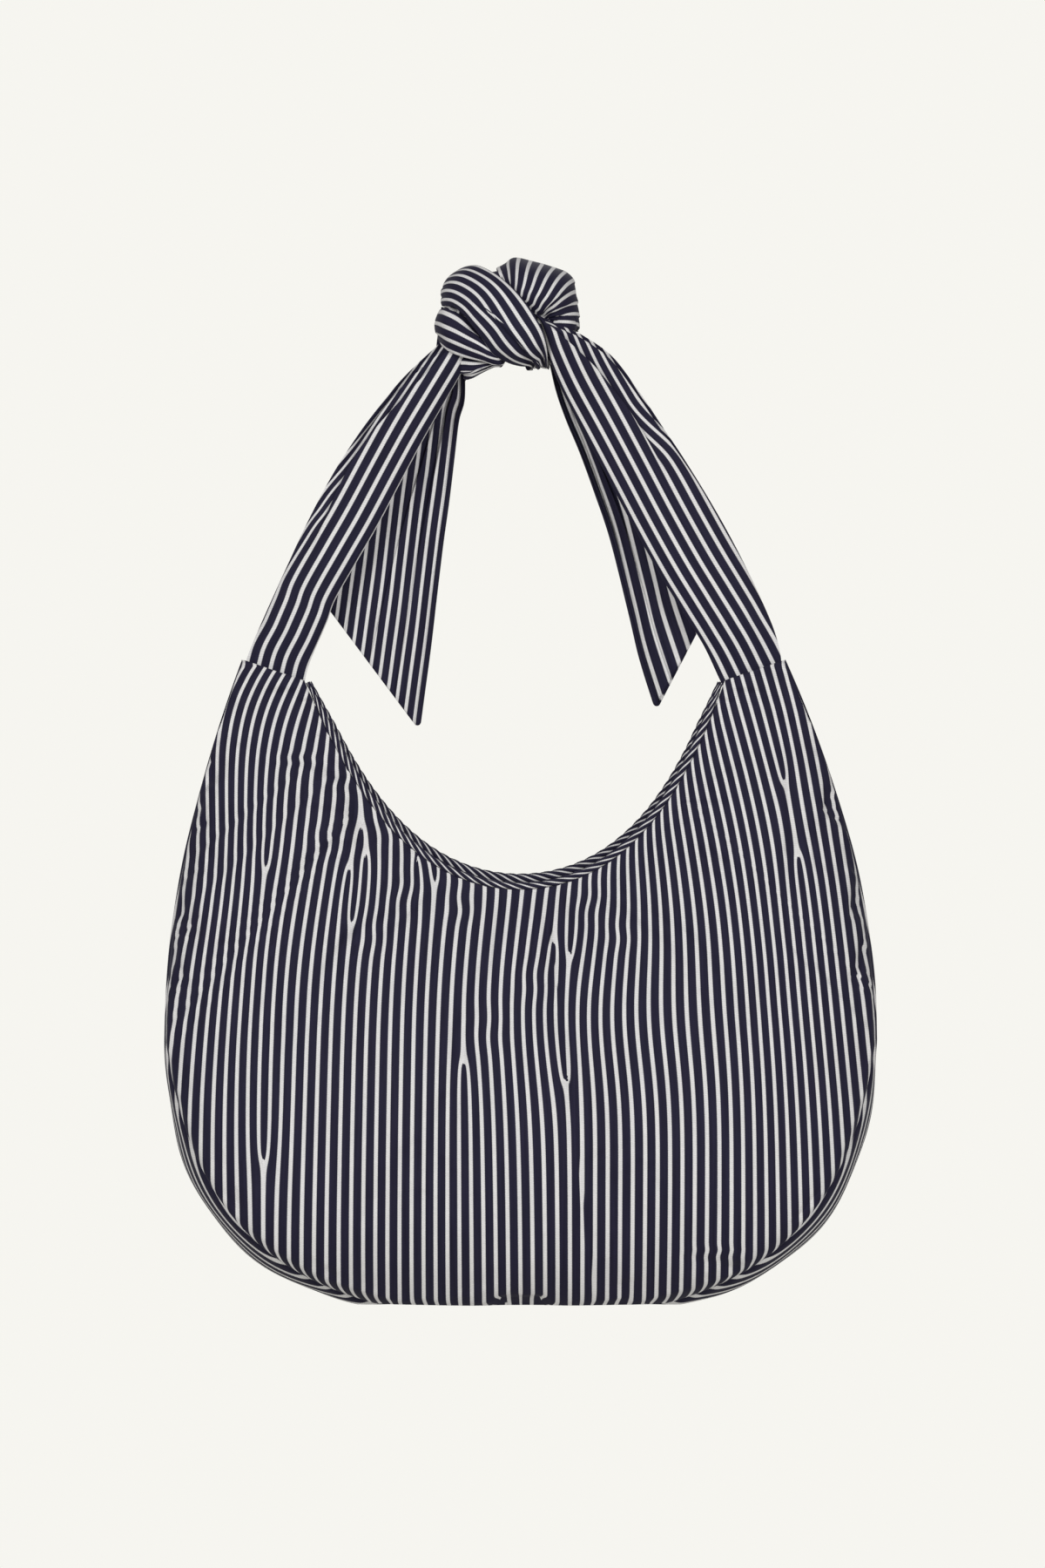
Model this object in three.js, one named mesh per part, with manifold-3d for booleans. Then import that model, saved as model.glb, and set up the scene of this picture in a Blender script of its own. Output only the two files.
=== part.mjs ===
// A soft striped shoulder bag. Two cloth straps rise from its shoulders and are tied in one knot,
// and the loose end of each strap hangs behind it as a tail with a slanted end.
// Millimetres, +Z up, front towards -Y. The origin is the point under the knot where a hook or a
// shoulder carries the bag, so the bag hangs below it.

import * as THREE from "three";
import { mergeVertices } from "three/addons/utils/BufferGeometryUtils.js";
import Module from "manifold-3d";

const wasm = await Module();
wasm.setup();

// The body's outline, seen from the front
const strapRise = 172; // from the shoulder seams up to the carrying point
const bodyHeight = 363; // from the shoulder seams down to the base
const widestDrop = 205; // from the shoulder seams down to the widest level
const halfWidth = 203; // half the body's width at that level
const sideSquareness = 3; // of the lower corners; 2 would be an ellipse
const baseSquareness = 2.5;
const sidePower = 1.87; // how the sides bend in towards the shoulders
const shoulderCentre = 136.7; // from the middle to each shoulder seam's middle
const shoulderWidth = 39; // a shoulder seam's width, measured level
const shoulderSlant = 12; // its outer end lies this much higher than its inner end
const shoulderLean = -3.8; // the shoulders lean to the left as the bag hangs
const baseSag = 6.5; // the cloth under the base would sag this much if it weren't pressed flat

// The mouth
const mouthDrop = 126; // from the shoulder seams down to the front edge at its lowest
const mouthRadius = 91; // bend of the mouth's edge at its lowest
const backEdgeRise = 3; // the back edge stands this much higher than the front one
const lipAtMiddle = 15; // half the mouth's width, front to back, at its middle
const lipAtShoulder = 0.45; // and at the shoulders, where all layers are pressed together

// Fullness, front to back
const fullDepth = 57; // from the bag's middle plane to a panel's fullest point
const depthAtShoulder = 0.5;
const gussetHalfWidth = 38; // half of a side gusset's width at its widest
const gussetAtShoulder = 0.42;
const gussetEnd = 0.86; // share of the way from shoulder to base centre where the gussets end
const gussetPeak = 0.75; // share of a gusset's own length at which it is widest
const gussetTaper = 1.4; // how gently a gusset narrows to its ends
const seamInset = 10; // how far the seams lie inside the outline at the lower corners
const seamInsetStart = 0.43; // where the seams start to leave the outline, as gussetEnd is measured

// Cloth
const shellThickness = 2; // outer cloth with its interlining
const liningThickness = 1;
const liningGap = 1.6; // between the shell and the lining
const seamGap = 0.3; // between pieces that are sewn together
const foldGap = 0.9; // between a strap and its shoulder, so that the strap folds over
const liningStart = 0.07; // the lining starts about this far round the bag from each shoulder, of its way round
const bindingHalfHeight = 2.2;
const bindingOverhang = 0.8; // the binding stands out this far on both sides of the edge it covers

// What the bag holds inside
const snapRadius = 9;
const snapStudHeight = 2.6;
const snapSocketHeight = 3.4;
const snapNubRadius = 2.8;
const snapNubHeight = 1.6;
const snapPlateRadius = 6.5;
const snapPlateThickness = 0.6;
const snapDrop = 22; // from the mouth's edge to the snap's middle
const pocketWidth = 150;
const pocketDrop = 62; // from the mouth's edge to the pocket's hem
const pocketHeight = 110;
const pocketThickness = 0.8;
const hemHeight = 10;
const hemThickness = 1.6;
const labelWidth = 34;
const labelHeight = 16;
const labelDrop = 37;
const labelThickness = 0.5;

// Straps
const strapThicknessAtSeam = 0.5;
const strapThickness = 12;
const strapThicknessAtKnot = 15;
const strapWidthAtKnot = 22;
const strapBow = 6.3; // how far each strap bows outwards between its ends
const leftStrap = { width: 36, knotEnd: [-37, 19] };
const rightStrap = { width: 41, knotEnd: [25, 20] };

// Knot: two interlocked bights, one of each strap
const knotCentre = [-7, 33];
const levelBight = { legSpread: 20, thickness: 18, height: 23, bendX: 5, legEndX: -38 };
const uprightBight = { legSpread: 22, thickness: 20, height: 21, bendX: -14, lowerEndX: 12, upperEndX: 20 };

// Tails
const tailThickness = 3;
const tailThicknessAtNeck = 1.6;
const tailNeckWidth = 16;
const tailFolds = 3;
const tailFoldDepth = 3.2;
const tailPlane = 20; // how far the tails hang behind the straps' mid plane
const leftTail = { neckX: -38, foot: [[-59, -203], [-110, -139]] };
const rightTail = { neckX: 17, foot: [[77, -192], [123, -138]] };

// Levels that follow from them
const seamZ = -strapRise;
const baseZ = seamZ - bodyHeight;
const widestZ = seamZ - widestDrop;
const mouthLowZ = seamZ - mouthDrop;
const shoulderOuterX = shoulderCentre + shoulderWidth / 2;
const shoulderInnerX = shoulderCentre - shoulderWidth / 2;
const mouthEndX = shoulderInnerX + 1.6 * bindingHalfHeight; // the binding ends flush with the strap's edge
const shoulderOuterZ = seamZ + shoulderSlant / 2;
const shoulderInnerZ = seamZ - shoulderSlant / 2;

const mix = (a, b, t) => a + (b - a) * t;
const clamp = (x, low, high) => Math.min(high, Math.max(low, x));
const smooth = (t) => t * t * (3 - 2 * t);

// A flat curve through many points, read by its share of the length.
class LengthCurve {
  constructor(points) {
    this.points = points;
    this.lengths = [0];
    for (let i = 1; i < points.length; i++) {
      const step = Math.hypot(points[i][0] - points[i - 1][0], points[i][1] - points[i - 1][1]);
      this.lengths.push(this.lengths[i - 1] + step);
    }
  }
  get length() {
    return this.lengths[this.lengths.length - 1];
  }
  at(share) {
    const target = clamp(share, 0, 1) * this.length;
    let i = 1;
    while (i < this.lengths.length - 1 && this.lengths[i] < target) i++;
    const t = (target - this.lengths[i - 1]) / (this.lengths[i] - this.lengths[i - 1]);
    const [a, b] = [this.points[i - 1], this.points[i]];
    return [mix(a[0], b[0], t), mix(a[1], b[1], t)];
  }
}

// Right half of the outline, from the shoulder's outer end down to the middle of the base.
function halfOutline() {
  const steps = 160;
  const points = [];
  const drop = halfWidth - shoulderOuterX;
  for (let i = 0; i < steps; i++) {
    const up = 1 - i / steps;
    points.push([halfWidth - drop * up ** sidePower, mix(widestZ, shoulderOuterZ, up)]);
  }
  const lowerHeight = widestZ - baseZ + baseSag;
  for (let i = 0; i <= steps; i++) {
    const angle = ((i / steps) * Math.PI) / 2;
    const across = i === steps ? 0 : Math.cos(angle) ** (2 / sideSquareness);
    points.push([halfWidth * across, widestZ - lowerHeight * Math.sin(angle) ** (2 / baseSquareness)]);
  }
  return new LengthCurve(points);
}

// The mouth's edge, from the left shoulder's inner end to the right one's.
function mouthCurve(rise) {
  const steps = 160;
  const half = mouthEndX;
  const square = 1 / (2 * mouthRadius);
  const quartic = (shoulderInnerZ - mouthLowZ - square * half ** 2) / half ** 4;
  const points = [];
  for (let i = 0; i <= steps; i++) {
    const x = mix(-half, half, i / steps);
    const lift = rise * (1 - (x / half) ** 2);
    points.push([x, mouthLowZ + square * x ** 2 + quartic * x ** 4 + lift]);
  }
  return new LengthCurve(points);
}

const outlineCurve = halfOutline();
const mouthCurves = { front: mouthCurve(0), back: mouthCurve(backEdgeRise) };

// The lean grows from nothing at the widest level to its full value at the shoulders.
function lean(z) {
  const up = clamp((z - widestZ) / (seamZ - widestZ), 0, 1.1);
  return shoulderLean * up * up;
}

// s runs round the bag from the left shoulder (0) by the base (0.5) to the right shoulder (1).
const fromShoulder = (s) => 1 - Math.abs(2 * s - 1);

function outlineAt(s) {
  const [x, z] = outlineCurve.at(fromShoulder(s));
  return new THREE.Vector3((s < 0.5 ? -x : x) + lean(z), 0, z);
}

function outlineNormal(s) {
  const step = 0.002;
  const along = outlineAt(Math.min(1, s + step)).sub(outlineAt(Math.max(0, s - step)));
  return new THREE.Vector3(along.z, 0, -along.x).normalize();
}

function gussetHalf(s) {
  const way = fromShoulder(s) / gussetEnd;
  if (way >= 1) return seamGap / 2;
  const power = Math.log(0.5) / Math.log(gussetPeak);
  const base = mix(gussetAtShoulder, seamGap / 2, smooth(way));
  return base + (gussetHalfWidth - gussetAtShoulder) * Math.sin(Math.PI * way ** power) ** gussetTaper;
}

function insetAt(s) {
  const way = (fromShoulder(s) - seamInsetStart) / (gussetEnd - seamInsetStart);
  return way > 0 && way < 1 ? seamInset * Math.sin(Math.PI * way) : 0;
}

const seamAt = (s) => outlineAt(s).addScaledVector(outlineNormal(s), -insetAt(s));

// How a panel stands out between the mouth's edge (t = 0) and its outer seam (t = 1).
const roundness = 5;
const baseRow = 0.985; // from here on the panels' lowest stretch lies flat under the bag
const fullestAt = 0.69;
const archAt = (t) => (1 - (1 - t) ** 2) * Math.sqrt(Math.max(0, 1 - t ** roundness));
const shapeAt = (t) => archAt(t) / archAt(fullestAt);

const halfOf = { front: -1, back: 1 };

function panelPoint(side, s, t) {
  const [mouthX, mouthZ] = mouthCurves[side].at(s);
  const seam = seamAt(s);
  const middle = Math.sin(Math.PI * s);
  const lip = mix(lipAtShoulder, lipAtMiddle, middle ** 1.2);
  const fullest = mix(depthAtShoulder, fullDepth, middle ** 1.1);
  const fullness = fullest - mix(lip, gussetHalf(s), fullestAt);
  const depth = mix(lip, gussetHalf(s), t) + fullness * shapeAt(t);
  const z = mix(mouthZ, seam.z, t);
  return new THREE.Vector3(mix(mouthX + lean(mouthZ), seam.x, t), halfOf[side] * depth, z);
}

// The direction in which a panel's layers are stacked. Close to the seam it turns into the outline's
// own normal, so the layers of a panel and of a gusset end in one plane.
function panelNormal(side, s, t, depth = 0) {
  if (t >= 1) return outlineNormal(s);
  const step = 0.004;
  const along = panelPoint(side, Math.min(1, s + step), t).sub(panelPoint(side, Math.max(0, s - step), t));
  const down = panelPoint(side, s, Math.min(1, t + step)).sub(panelPoint(side, s, Math.max(0, t - step)));
  const normal = side === "front" ? down.cross(along) : along.cross(down);
  const room = panelPoint(side, s, t).distanceTo(panelPoint(side, s, 1));
  const turned = depth > 0 ? clamp(1 - room / (2 * depth), 0, 1) : 0;
  return normal.normalize().lerp(outlineNormal(s), turned).normalize();
}

// A gusset runs from the front seam (v = -1) to the back one (v = 1).
function gussetPoint(s, v) {
  const point = outlineAt(s).addScaledVector(outlineNormal(s), -insetAt(s) * v * v);
  point.y = v * Math.max(seamGap / 2, gussetHalf(s) - seamGap);
  return point;
}

// Faces of a closed body from rings of points that are joined one after the other.
function loft(rings) {
  const count = rings[0].length;
  const positions = rings.flat().flatMap((p) => [p.x, p.y, p.z]);
  const faces = [];
  for (let r = 0; r + 1 < rings.length; r++)
    for (let k = 0; k < count; k++) {
      const [a, b] = [r * count + k, r * count + ((k + 1) % count)];
      faces.push(a, b, b + count, a, b + count, a + count);
    }
  const last = (rings.length - 1) * count;
  for (let k = 1; k + 1 < count; k++) faces.push(0, k + 1, k, last, last + k, last + k + 1);
  return facingOut(positions, faces);
}

// A thin closed body between a grid of outer points and the same grid moved inwards. No point of a
// piece of the front or back crosses the bag's middle plane, and the base is pressed flat.
function shell(pointAt, directionAt, uValues, vValues, near, far, half = 0) {
  const rows = uValues.map((u) =>
    vValues.map((v) => {
      const point = pointAt(u, v);
      return [near, far].map((d) => {
        const moved = point.clone().addScaledVector(directionAt(u, v, d), -d);
        if (half) moved.y = half * Math.max(seamGap / 2, half * moved.y);
        moved.z = Math.max(moved.z, baseZ + Math.max(0, d));
        return moved;
      });
    }),
  );
  const [nu, nv] = [uValues.length, vValues.length];
  const positions = [];
  for (const layer of [0, 1])
    for (const row of rows) for (const pair of row) positions.push(...pair[layer].toArray());
  const index = (layer, i, j) => layer * nu * nv + i * nv + j;
  const faces = [];
  const quad = (a, b, c, d) => faces.push(a, b, c, a, c, d);
  for (let i = 0; i + 1 < nu; i++)
    for (let j = 0; j + 1 < nv; j++) {
      quad(index(0, i, j), index(0, i + 1, j), index(0, i + 1, j + 1), index(0, i, j + 1));
      quad(index(1, i, j), index(1, i, j + 1), index(1, i + 1, j + 1), index(1, i + 1, j));
    }
  for (let i = 0; i + 1 < nu; i++) {
    quad(index(1, i, 0), index(1, i + 1, 0), index(0, i + 1, 0), index(0, i, 0));
    quad(index(0, i, nv - 1), index(0, i + 1, nv - 1), index(1, i + 1, nv - 1), index(1, i, nv - 1));
  }
  for (let j = 0; j + 1 < nv; j++) {
    quad(index(0, 0, j), index(0, 0, j + 1), index(1, 0, j + 1), index(1, 0, j));
    quad(index(1, nu - 1, j), index(1, nu - 1, j + 1), index(0, nu - 1, j + 1), index(0, nu - 1, j));
  }
  return facingOut(positions, faces);
}

function facingOut(positions, faces) {
  let volume = 0;
  const at = (i) => new THREE.Vector3(...positions.slice(3 * i, 3 * i + 3));
  for (let f = 0; f < faces.length; f += 3) {
    volume += at(faces[f]).dot(at(faces[f + 1]).cross(at(faces[f + 2])));
  }
  if (volume < 0) for (let f = 0; f < faces.length; f += 3) [faces[f + 1], faces[f + 2]] = [faces[f + 2], faces[f + 1]];
  const geometry = new THREE.BufferGeometry();
  geometry.setAttribute("position", new THREE.Float32BufferAttribute(positions, 3));
  geometry.setIndex(faces);
  return geometry;
}

function solidOf(geometry) {
  const bare = geometry.clone();
  for (const name of ["normal", "uv"]) bare.deleteAttribute(name);
  const merged = mergeVertices(bare, 1e-4);
  return new wasm.Manifold(
    new wasm.Mesh({
      numProp: 3,
      vertProperties: new Float32Array(merged.attributes.position.array),
      triVerts: new Uint32Array(merged.index.array),
    }),
  );
}

function geometryOf(solid) {
  const mesh = solid.getMesh();
  const geometry = new THREE.BufferGeometry();
  geometry.setAttribute("position", new THREE.BufferAttribute(new Float32Array(mesh.vertProperties), 3));
  geometry.setIndex(new THREE.BufferAttribute(new Uint32Array(mesh.triVerts), 1));
  return geometry;
}

const steps = (count, low = 0, high = 1) => Array.from({ length: count + 1 }, (_, i) => mix(low, high, i / count));
// Steps that crowd towards the outer seam, where a panel turns fast.
const seamSteps = (count) => [...steps(count - 1, 0, 1 - 1 / count).map((t) => 1 - (1 - t) ** 1.5), baseRow, 1];

// All pieces that meet along a seam are divided alike, so their edges stay parallel.
const aroundCount = 40;
const acrossCount = 10;
const stationsBetween = (low, high) => steps(high - low, low / aroundCount, high / aroundCount);
const liningFirst = Math.round(liningStart * aroundCount);
const gussetLast = Math.floor((gussetEnd / 2) * aroundCount - 0.1);

function panel(side) {
  return shell(
    (s, t) => panelPoint(side, s, t),
    (s, t, depth) => panelNormal(side, s, t, depth),
    stationsBetween(0, aroundCount),
    seamSteps(acrossCount),
    0,
    shellThickness,
    halfOf[side],
  );
}

const liningNear = shellThickness + liningGap;
const liningFar = liningNear + liningThickness;

function panelLining(side) {
  return shell(
    (s, t) => panelPoint(side, s, t),
    (s, t, depth) => panelNormal(side, s, t, depth),
    stationsBetween(liningFirst, aroundCount - liningFirst),
    seamSteps(acrossCount),
    liningNear,
    liningFar,
    halfOf[side],
  );
}

// A gusset, or its lining, between two stations counted from the left shoulder.
function gusset(first, last, near, far) {
  return shell(gussetPoint, (s) => outlineNormal(s), stationsBetween(first, last), steps(4, -1, 1), near, far);
}

// The rolled binding along a mouth edge covers the cut edges of the shell and the lining.
function binding(side) {
  const rings = steps(aroundCount, 0.004, 0.996).map((s) => {
    const edge = panelPoint(side, s, 0);
    const depth = Math.abs(edge.y);
    const outer = depth + bindingOverhang;
    const inner = Math.max(seamGap / 2, depth - liningFar - bindingOverhang);
    const along = panelPoint(side, Math.min(1, s + 0.004), 0).sub(panelPoint(side, Math.max(0, s - 0.004), 0));
    const away = new THREE.Vector3(-along.z, 0, along.x).normalize();
    const centre = edge.addScaledVector(away, bindingHalfHeight + seamGap);
    centre.y = (halfOf[side] * (outer + inner)) / 2;
    return ring(centre, new THREE.Vector3(0, 1, 0), away, (outer - inner) / 2, bindingHalfHeight, 8);
  });
  return loft(rings);
}

// An oval ring of points round a centre, with its half sizes along two directions.
function ring(centre, across, up, halfAcross, halfUp, count, squareness = 1) {
  return Array.from({ length: count }, (_, k) => {
    const angle = (2 * Math.PI * k) / count;
    const bend = (value) => Math.sign(value) * Math.abs(value) ** squareness;
    return centre
      .clone()
      .addScaledVector(across, halfAcross * bend(Math.cos(angle)))
      .addScaledVector(up, halfUp * bend(Math.sin(angle)));
  });
}

// The lining's inner face as it is built, flat between its stations.
function innerFace(side) {
  const [us, vs] = [stationsBetween(liningFirst, aroundCount - liningFirst), seamSteps(acrossCount)];
  const inner = (s, t) => panelPoint(side, s, t).addScaledVector(panelNormal(side, s, t, liningFar), -liningFar);
  const rows = us.map((s) => vs.map((t) => inner(s, t)));
  const before = (values, value) => Math.max(0, values.findLastIndex((one, i) => i < values.length - 1 && one <= value));
  return (s, t) => {
    const [i, j] = [before(us, s), before(vs, t)];
    const [u, v] = [(s - us[i]) / (us[i + 1] - us[i]), (t - vs[j]) / (vs[j + 1] - vs[j])];
    const edge = (row) => row[j].clone().lerp(row[j + 1], v);
    return edge(rows[i]).lerp(edge(rows[i + 1]), u);
  };
}

const innerFaces = { front: innerFace("front"), back: innerFace("back") };

// A piece laid on the lining's inner face: width along the bag, from one drop below the mouth to another.
function linedPatch(side, width, dropFrom, dropTo, thickness, counts) {
  const depthOfPanel = panelPoint(side, 0.5, 0).z - baseZ;
  const [tFrom, tTo] = [dropFrom / depthOfPanel, dropTo / depthOfPanel];
  const reach = (t) => {
    const step = 0.01;
    const stretch = panelPoint(side, 0.5 + step, t).distanceTo(panelPoint(side, 0.5 - step, t));
    return (width * step) / stretch;
  };
  return shell(
    (u, t) => innerFaces[side](0.5 + u * reach(t), t),
    (u, t) => panelNormal(side, 0.5 + u * reach(t), t),
    steps(counts[0], -1, 1),
    steps(counts[1], tFrom, tTo),
    patchGap,
    patchGap + thickness,
  );
}

// A round piece turned about the panel's normal, its foot at a depth below the outer face.
function onPanel(profile, side, drop, depth) {
  const t = drop / (panelPoint(side, 0.5, 0).z - baseZ);
  const normal = panelNormal(side, 0.5, t);
  const foot = panelPoint(side, 0.5, t).addScaledVector(normal, -depth);
  const turn = new THREE.Quaternion().setFromUnitVectors(new THREE.Vector3(0, 1, 0), normal.clone().negate());
  const geometry = new THREE.LatheGeometry(
    profile.map(([r, h]) => new THREE.Vector2(r, h)),
    32,
  );
  geometry.applyQuaternion(turn);
  return { geometry, place: foot };
}

const patchGap = 0.6; // between the lining and what is sewn on it
const snapFoot = liningFar + patchGap;
const snapStudProfile = [
  [0, 0],
  [snapRadius, 0],
  [snapRadius, snapStudHeight * 0.7],
  [snapRadius - 1, snapStudHeight],
  [snapNubRadius, snapStudHeight],
  [snapNubRadius * 0.8, snapStudHeight + snapNubHeight],
  [0, snapStudHeight + snapNubHeight],
];
const snapSocketProfile = [
  [0, 0],
  [snapRadius, 0],
  [snapRadius, snapSocketHeight * 0.7],
  [snapRadius - 1, snapSocketHeight],
  [snapNubRadius + 0.4, snapSocketHeight],
  [snapNubRadius + 0.4, snapSocketHeight - snapNubHeight - 0.4],
  [0, snapSocketHeight - snapNubHeight - 0.4],
];
const snapPlateProfile = [
  [0, -snapPlateThickness / 2],
  [snapPlateRadius, -snapPlateThickness / 2],
  [snapPlateRadius, snapPlateThickness / 2],
  [0, snapPlateThickness / 2],
];
const snapPlateDepth = shellThickness + liningGap / 2;

// sign is -1 for the left shoulder and 1 for the right one.
function shoulderSeam(sign) {
  const inner = new THREE.Vector3(sign * shoulderInnerX + lean(shoulderInnerZ), 0, shoulderInnerZ);
  const outer = new THREE.Vector3(sign * shoulderOuterX + lean(shoulderOuterZ), 0, shoulderOuterZ);
  return { centre: inner.clone().add(outer).divideScalar(2), along: outer.clone().sub(inner) };
}

// A strap starts flat in its shoulder seam, swells, bows outwards and is gathered into the knot.
function strap(sign, { width, knotEnd }) {
  const seam = shoulderSeam(sign);
  const seamAlong = seam.along.clone().normalize();
  const up = new THREE.Vector3(-seamAlong.z * sign, 0, seamAlong.x * sign);
  const start = seam.centre.clone().addScaledVector(up, foldGap);
  const end = new THREE.Vector3(knotEnd[0], 0, knotEnd[1]);
  const line = end.clone().sub(start);
  const outwards = new THREE.Vector3(sign * Math.abs(line.z), 0, Math.abs(line.x)).normalize();
  const count = 18;
  const rings = steps(count).map((w) => {
    const centre = start.clone().addScaledVector(line, w).addScaledVector(outwards, strapBow * Math.sin(Math.PI * w));
    const across = seamAlong.clone().lerp(outwards, smooth(clamp(w / 0.15, 0, 1))).normalize();
    const toKnot = smooth(clamp((w - 0.62) / 0.38, 0, 1));
    const swell = smooth(clamp(w / 0.16, 0, 1));
    const ringWidth = mix(mix(seam.along.length() - 1, width, swell), strapWidthAtKnot, toKnot);
    const ringThickness = mix(mix(strapThicknessAtSeam, strapThickness, swell), strapThicknessAtKnot, toKnot);
    return ring(centre, across, new THREE.Vector3(0, 1, 0), ringWidth / 2, ringThickness / 2, 14, 0.75);
  });
  return loft(rings);
}

// A bight is a hairpin of cloth: two legs and the bend that joins them.
function bight(path, halfAcrossAt, halfUp, flatDirection) {
  const rings = path.map(({ point, radial }, k) =>
    ring(point, radial, flatDirection, halfAcrossAt(k), halfUp, 14, 0.8),
  );
  return loft(rings);
}

// Points along a hairpin that lies in the X and `sideways` plane and bends round at its far end.
function hairpinPath(sideways, middle, spread, bendX, farSign, endXs) {
  const path = [];
  const legSteps = 4;
  const add = (x, offset, radial) =>
    path.push({ point: new THREE.Vector3(x, 0, 0).add(middle).addScaledVector(sideways, offset), radial });
  const [first, last] = [sideways.clone().negate(), sideways.clone()];
  for (let i = 0; i < legSteps; i++) add(mix(endXs[0], bendX, i / legSteps), -spread, first);
  const bendSteps = 10;
  for (let i = 0; i <= bendSteps; i++) {
    const angle = -Math.PI / 2 + (Math.PI * i) / bendSteps;
    const radial = sideways
      .clone()
      .multiplyScalar(Math.sin(angle))
      .add(new THREE.Vector3(farSign * Math.cos(angle), 0, 0));
    add(bendX + farSign * spread * Math.cos(angle), spread * Math.sin(angle), radial);
  }
  for (let i = 1; i <= legSteps; i++) add(mix(bendX, endXs[1], i / legSteps), spread, last);
  return path;
}

// Legs round off towards their ends.
const legEnd = (k, count) => Math.sqrt(clamp((Math.min(k, count - 1 - k) + 0.6) / 2, 0.3, 1));

function levelKnotBight() {
  const { legSpread, thickness, height, bendX, legEndX } = levelBight;
  const middle = new THREE.Vector3(0, 0, knotCentre[1]);
  const ends = [legEndX, legEndX];
  const path = hairpinPath(new THREE.Vector3(0, 1, 0), middle, legSpread, bendX, 1, ends);
  const half = (k) => (thickness / 2) * legEnd(k, path.length);
  return bight(path, half, height / 2, new THREE.Vector3(0, 0, 1));
}

function uprightKnotBight() {
  const { legSpread, thickness, height, bendX, lowerEndX, upperEndX } = uprightBight;
  const middle = new THREE.Vector3(0, 0, knotCentre[1]);
  const ends = [lowerEndX, upperEndX];
  const path = hairpinPath(new THREE.Vector3(0, 0, 1), middle, legSpread, bendX, -1, ends);
  const half = (k) => (thickness / 2) * legEnd(k, path.length);
  return bight(path, half, height / 2, new THREE.Vector3(0, 1, 0));
}

// Takes the space of the knot, with a clearance round it, out of a strap's end.
function clearOf(geometry, obstacles) {
  let solid = solidOf(geometry);
  const shifts = [-seamGap, 0, seamGap];
  for (const obstacle of obstacles) {
    const body = solidOf(obstacle);
    for (const x of shifts)
      for (const z of shifts) for (const y of shifts) solid = solid.subtract(body.translate([x, y, z]));
  }
  const pieces = solid.decompose().sort((a, b) => b.volume() - a.volume());
  return geometryOf(pieces[0]);
}

// A tail turns about the middle of its neck's rounded top, just under the knot.
const tailHingeZ = knotCentre[1] - levelBight.height / 2 - seamGap - 0.75 * tailThicknessAtNeck;

// A tail fans out from its neck. foot holds its long tip and the corner behind the strap.
function tail({ neckX, foot }) {
  const [tip, corner] = foot;
  const neckTop = tailHingeZ + tailThicknessAtNeck / 2;
  const neck = [neckX - (Math.sign(corner[0]) * -tailNeckWidth) / 2, neckX + (Math.sign(corner[0]) * -tailNeckWidth) / 2];
  const pointAt = (u, w) => {
    const fan = Math.sin((w * Math.PI) / 2);
    const inner = [mix(neck[1], tip[0], w), mix(neckTop, tip[1], w)];
    const outer = [mix(neck[0], corner[0], mix(w, fan, 0.3)), mix(neckTop, corner[1], w)];
    const fold = tailFoldDepth * smooth(clamp(w * 2, 0, 1)) * Math.sin(2 * Math.PI * tailFolds * u);
    return new THREE.Vector3(mix(inner[0], outer[0], u), tailPlane + fold, mix(inner[1], outer[1], u));
  };
  const backwards = (u, w) => new THREE.Vector3(0, mix(tailThicknessAtNeck / tailThickness, 1, Math.min(1, 2 * w)), 0);
  return shell(pointAt, backwards, steps(12), steps(9), -tailThickness / 2, tailThickness / 2);
}

const finishes = {
  stripe: { color: 0x35354a, roughness: 0.62, metalness: 0 },
  stripeDark: { color: 0x2b2b3e, roughness: 0.66, metalness: 0 },
  binding: { color: 0x4a4a5c, roughness: 0.64, metalness: 0 },
  lining: { color: 0xd8d2c4, roughness: 0.7, metalness: 0 },
  label: { color: 0xeae6dc, roughness: 0.6, metalness: 0 },
  metal: { color: 0xb9b9bd, roughness: 0.28, metalness: 1 },
};

function mesh(name, geometry, finish, place) {
  const made = new THREE.Mesh(geometry, new THREE.MeshStandardMaterial(finishes[finish]));
  made.name = name;
  if (place) made.position.copy(place);
  return made;
}

const bag = new THREE.Group();
bag.add(mesh("front_panel", panel("front"), "stripe"));
bag.add(mesh("back_panel", panel("back"), "stripe"));
const leftEnds = [0, gussetLast];
const rightEnds = [aroundCount - gussetLast, aroundCount];
const leftLiningEnds = [liningFirst, gussetLast - 1];
const rightLiningEnds = [aroundCount - gussetLast + 1, aroundCount - liningFirst];
bag.add(mesh("left_gusset", gusset(...leftEnds, 0, shellThickness), "stripeDark"));
bag.add(mesh("right_gusset", gusset(...rightEnds, 0, shellThickness), "stripeDark"));
bag.add(mesh("front_binding", binding("front"), "binding"));
bag.add(mesh("back_binding", binding("back"), "binding"));
bag.add(mesh("front_lining", panelLining("front"), "lining"));
bag.add(mesh("back_lining", panelLining("back"), "lining"));
bag.add(mesh("left_gusset_lining", gusset(...leftLiningEnds, liningNear, liningFar), "lining"));
bag.add(mesh("right_gusset_lining", gusset(...rightLiningEnds, liningNear, liningFar), "lining"));

const pocketFoot = pocketDrop + pocketHeight;
const hemFoot = pocketDrop + hemHeight;
const pocketBody = linedPatch("back", pocketWidth, hemFoot + seamGap, pocketFoot, pocketThickness, [10, 5]);
bag.add(mesh("slip_pocket", pocketBody, "lining"));
bag.add(mesh("pocket_hem", linedPatch("back", pocketWidth, pocketDrop, hemFoot, hemThickness, [10, 1]), "lining"));
const labelFoot = labelDrop + labelHeight;
bag.add(mesh("blank_label", linedPatch("back", labelWidth, labelDrop, labelFoot, labelThickness, [4, 2]), "label"));

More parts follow.
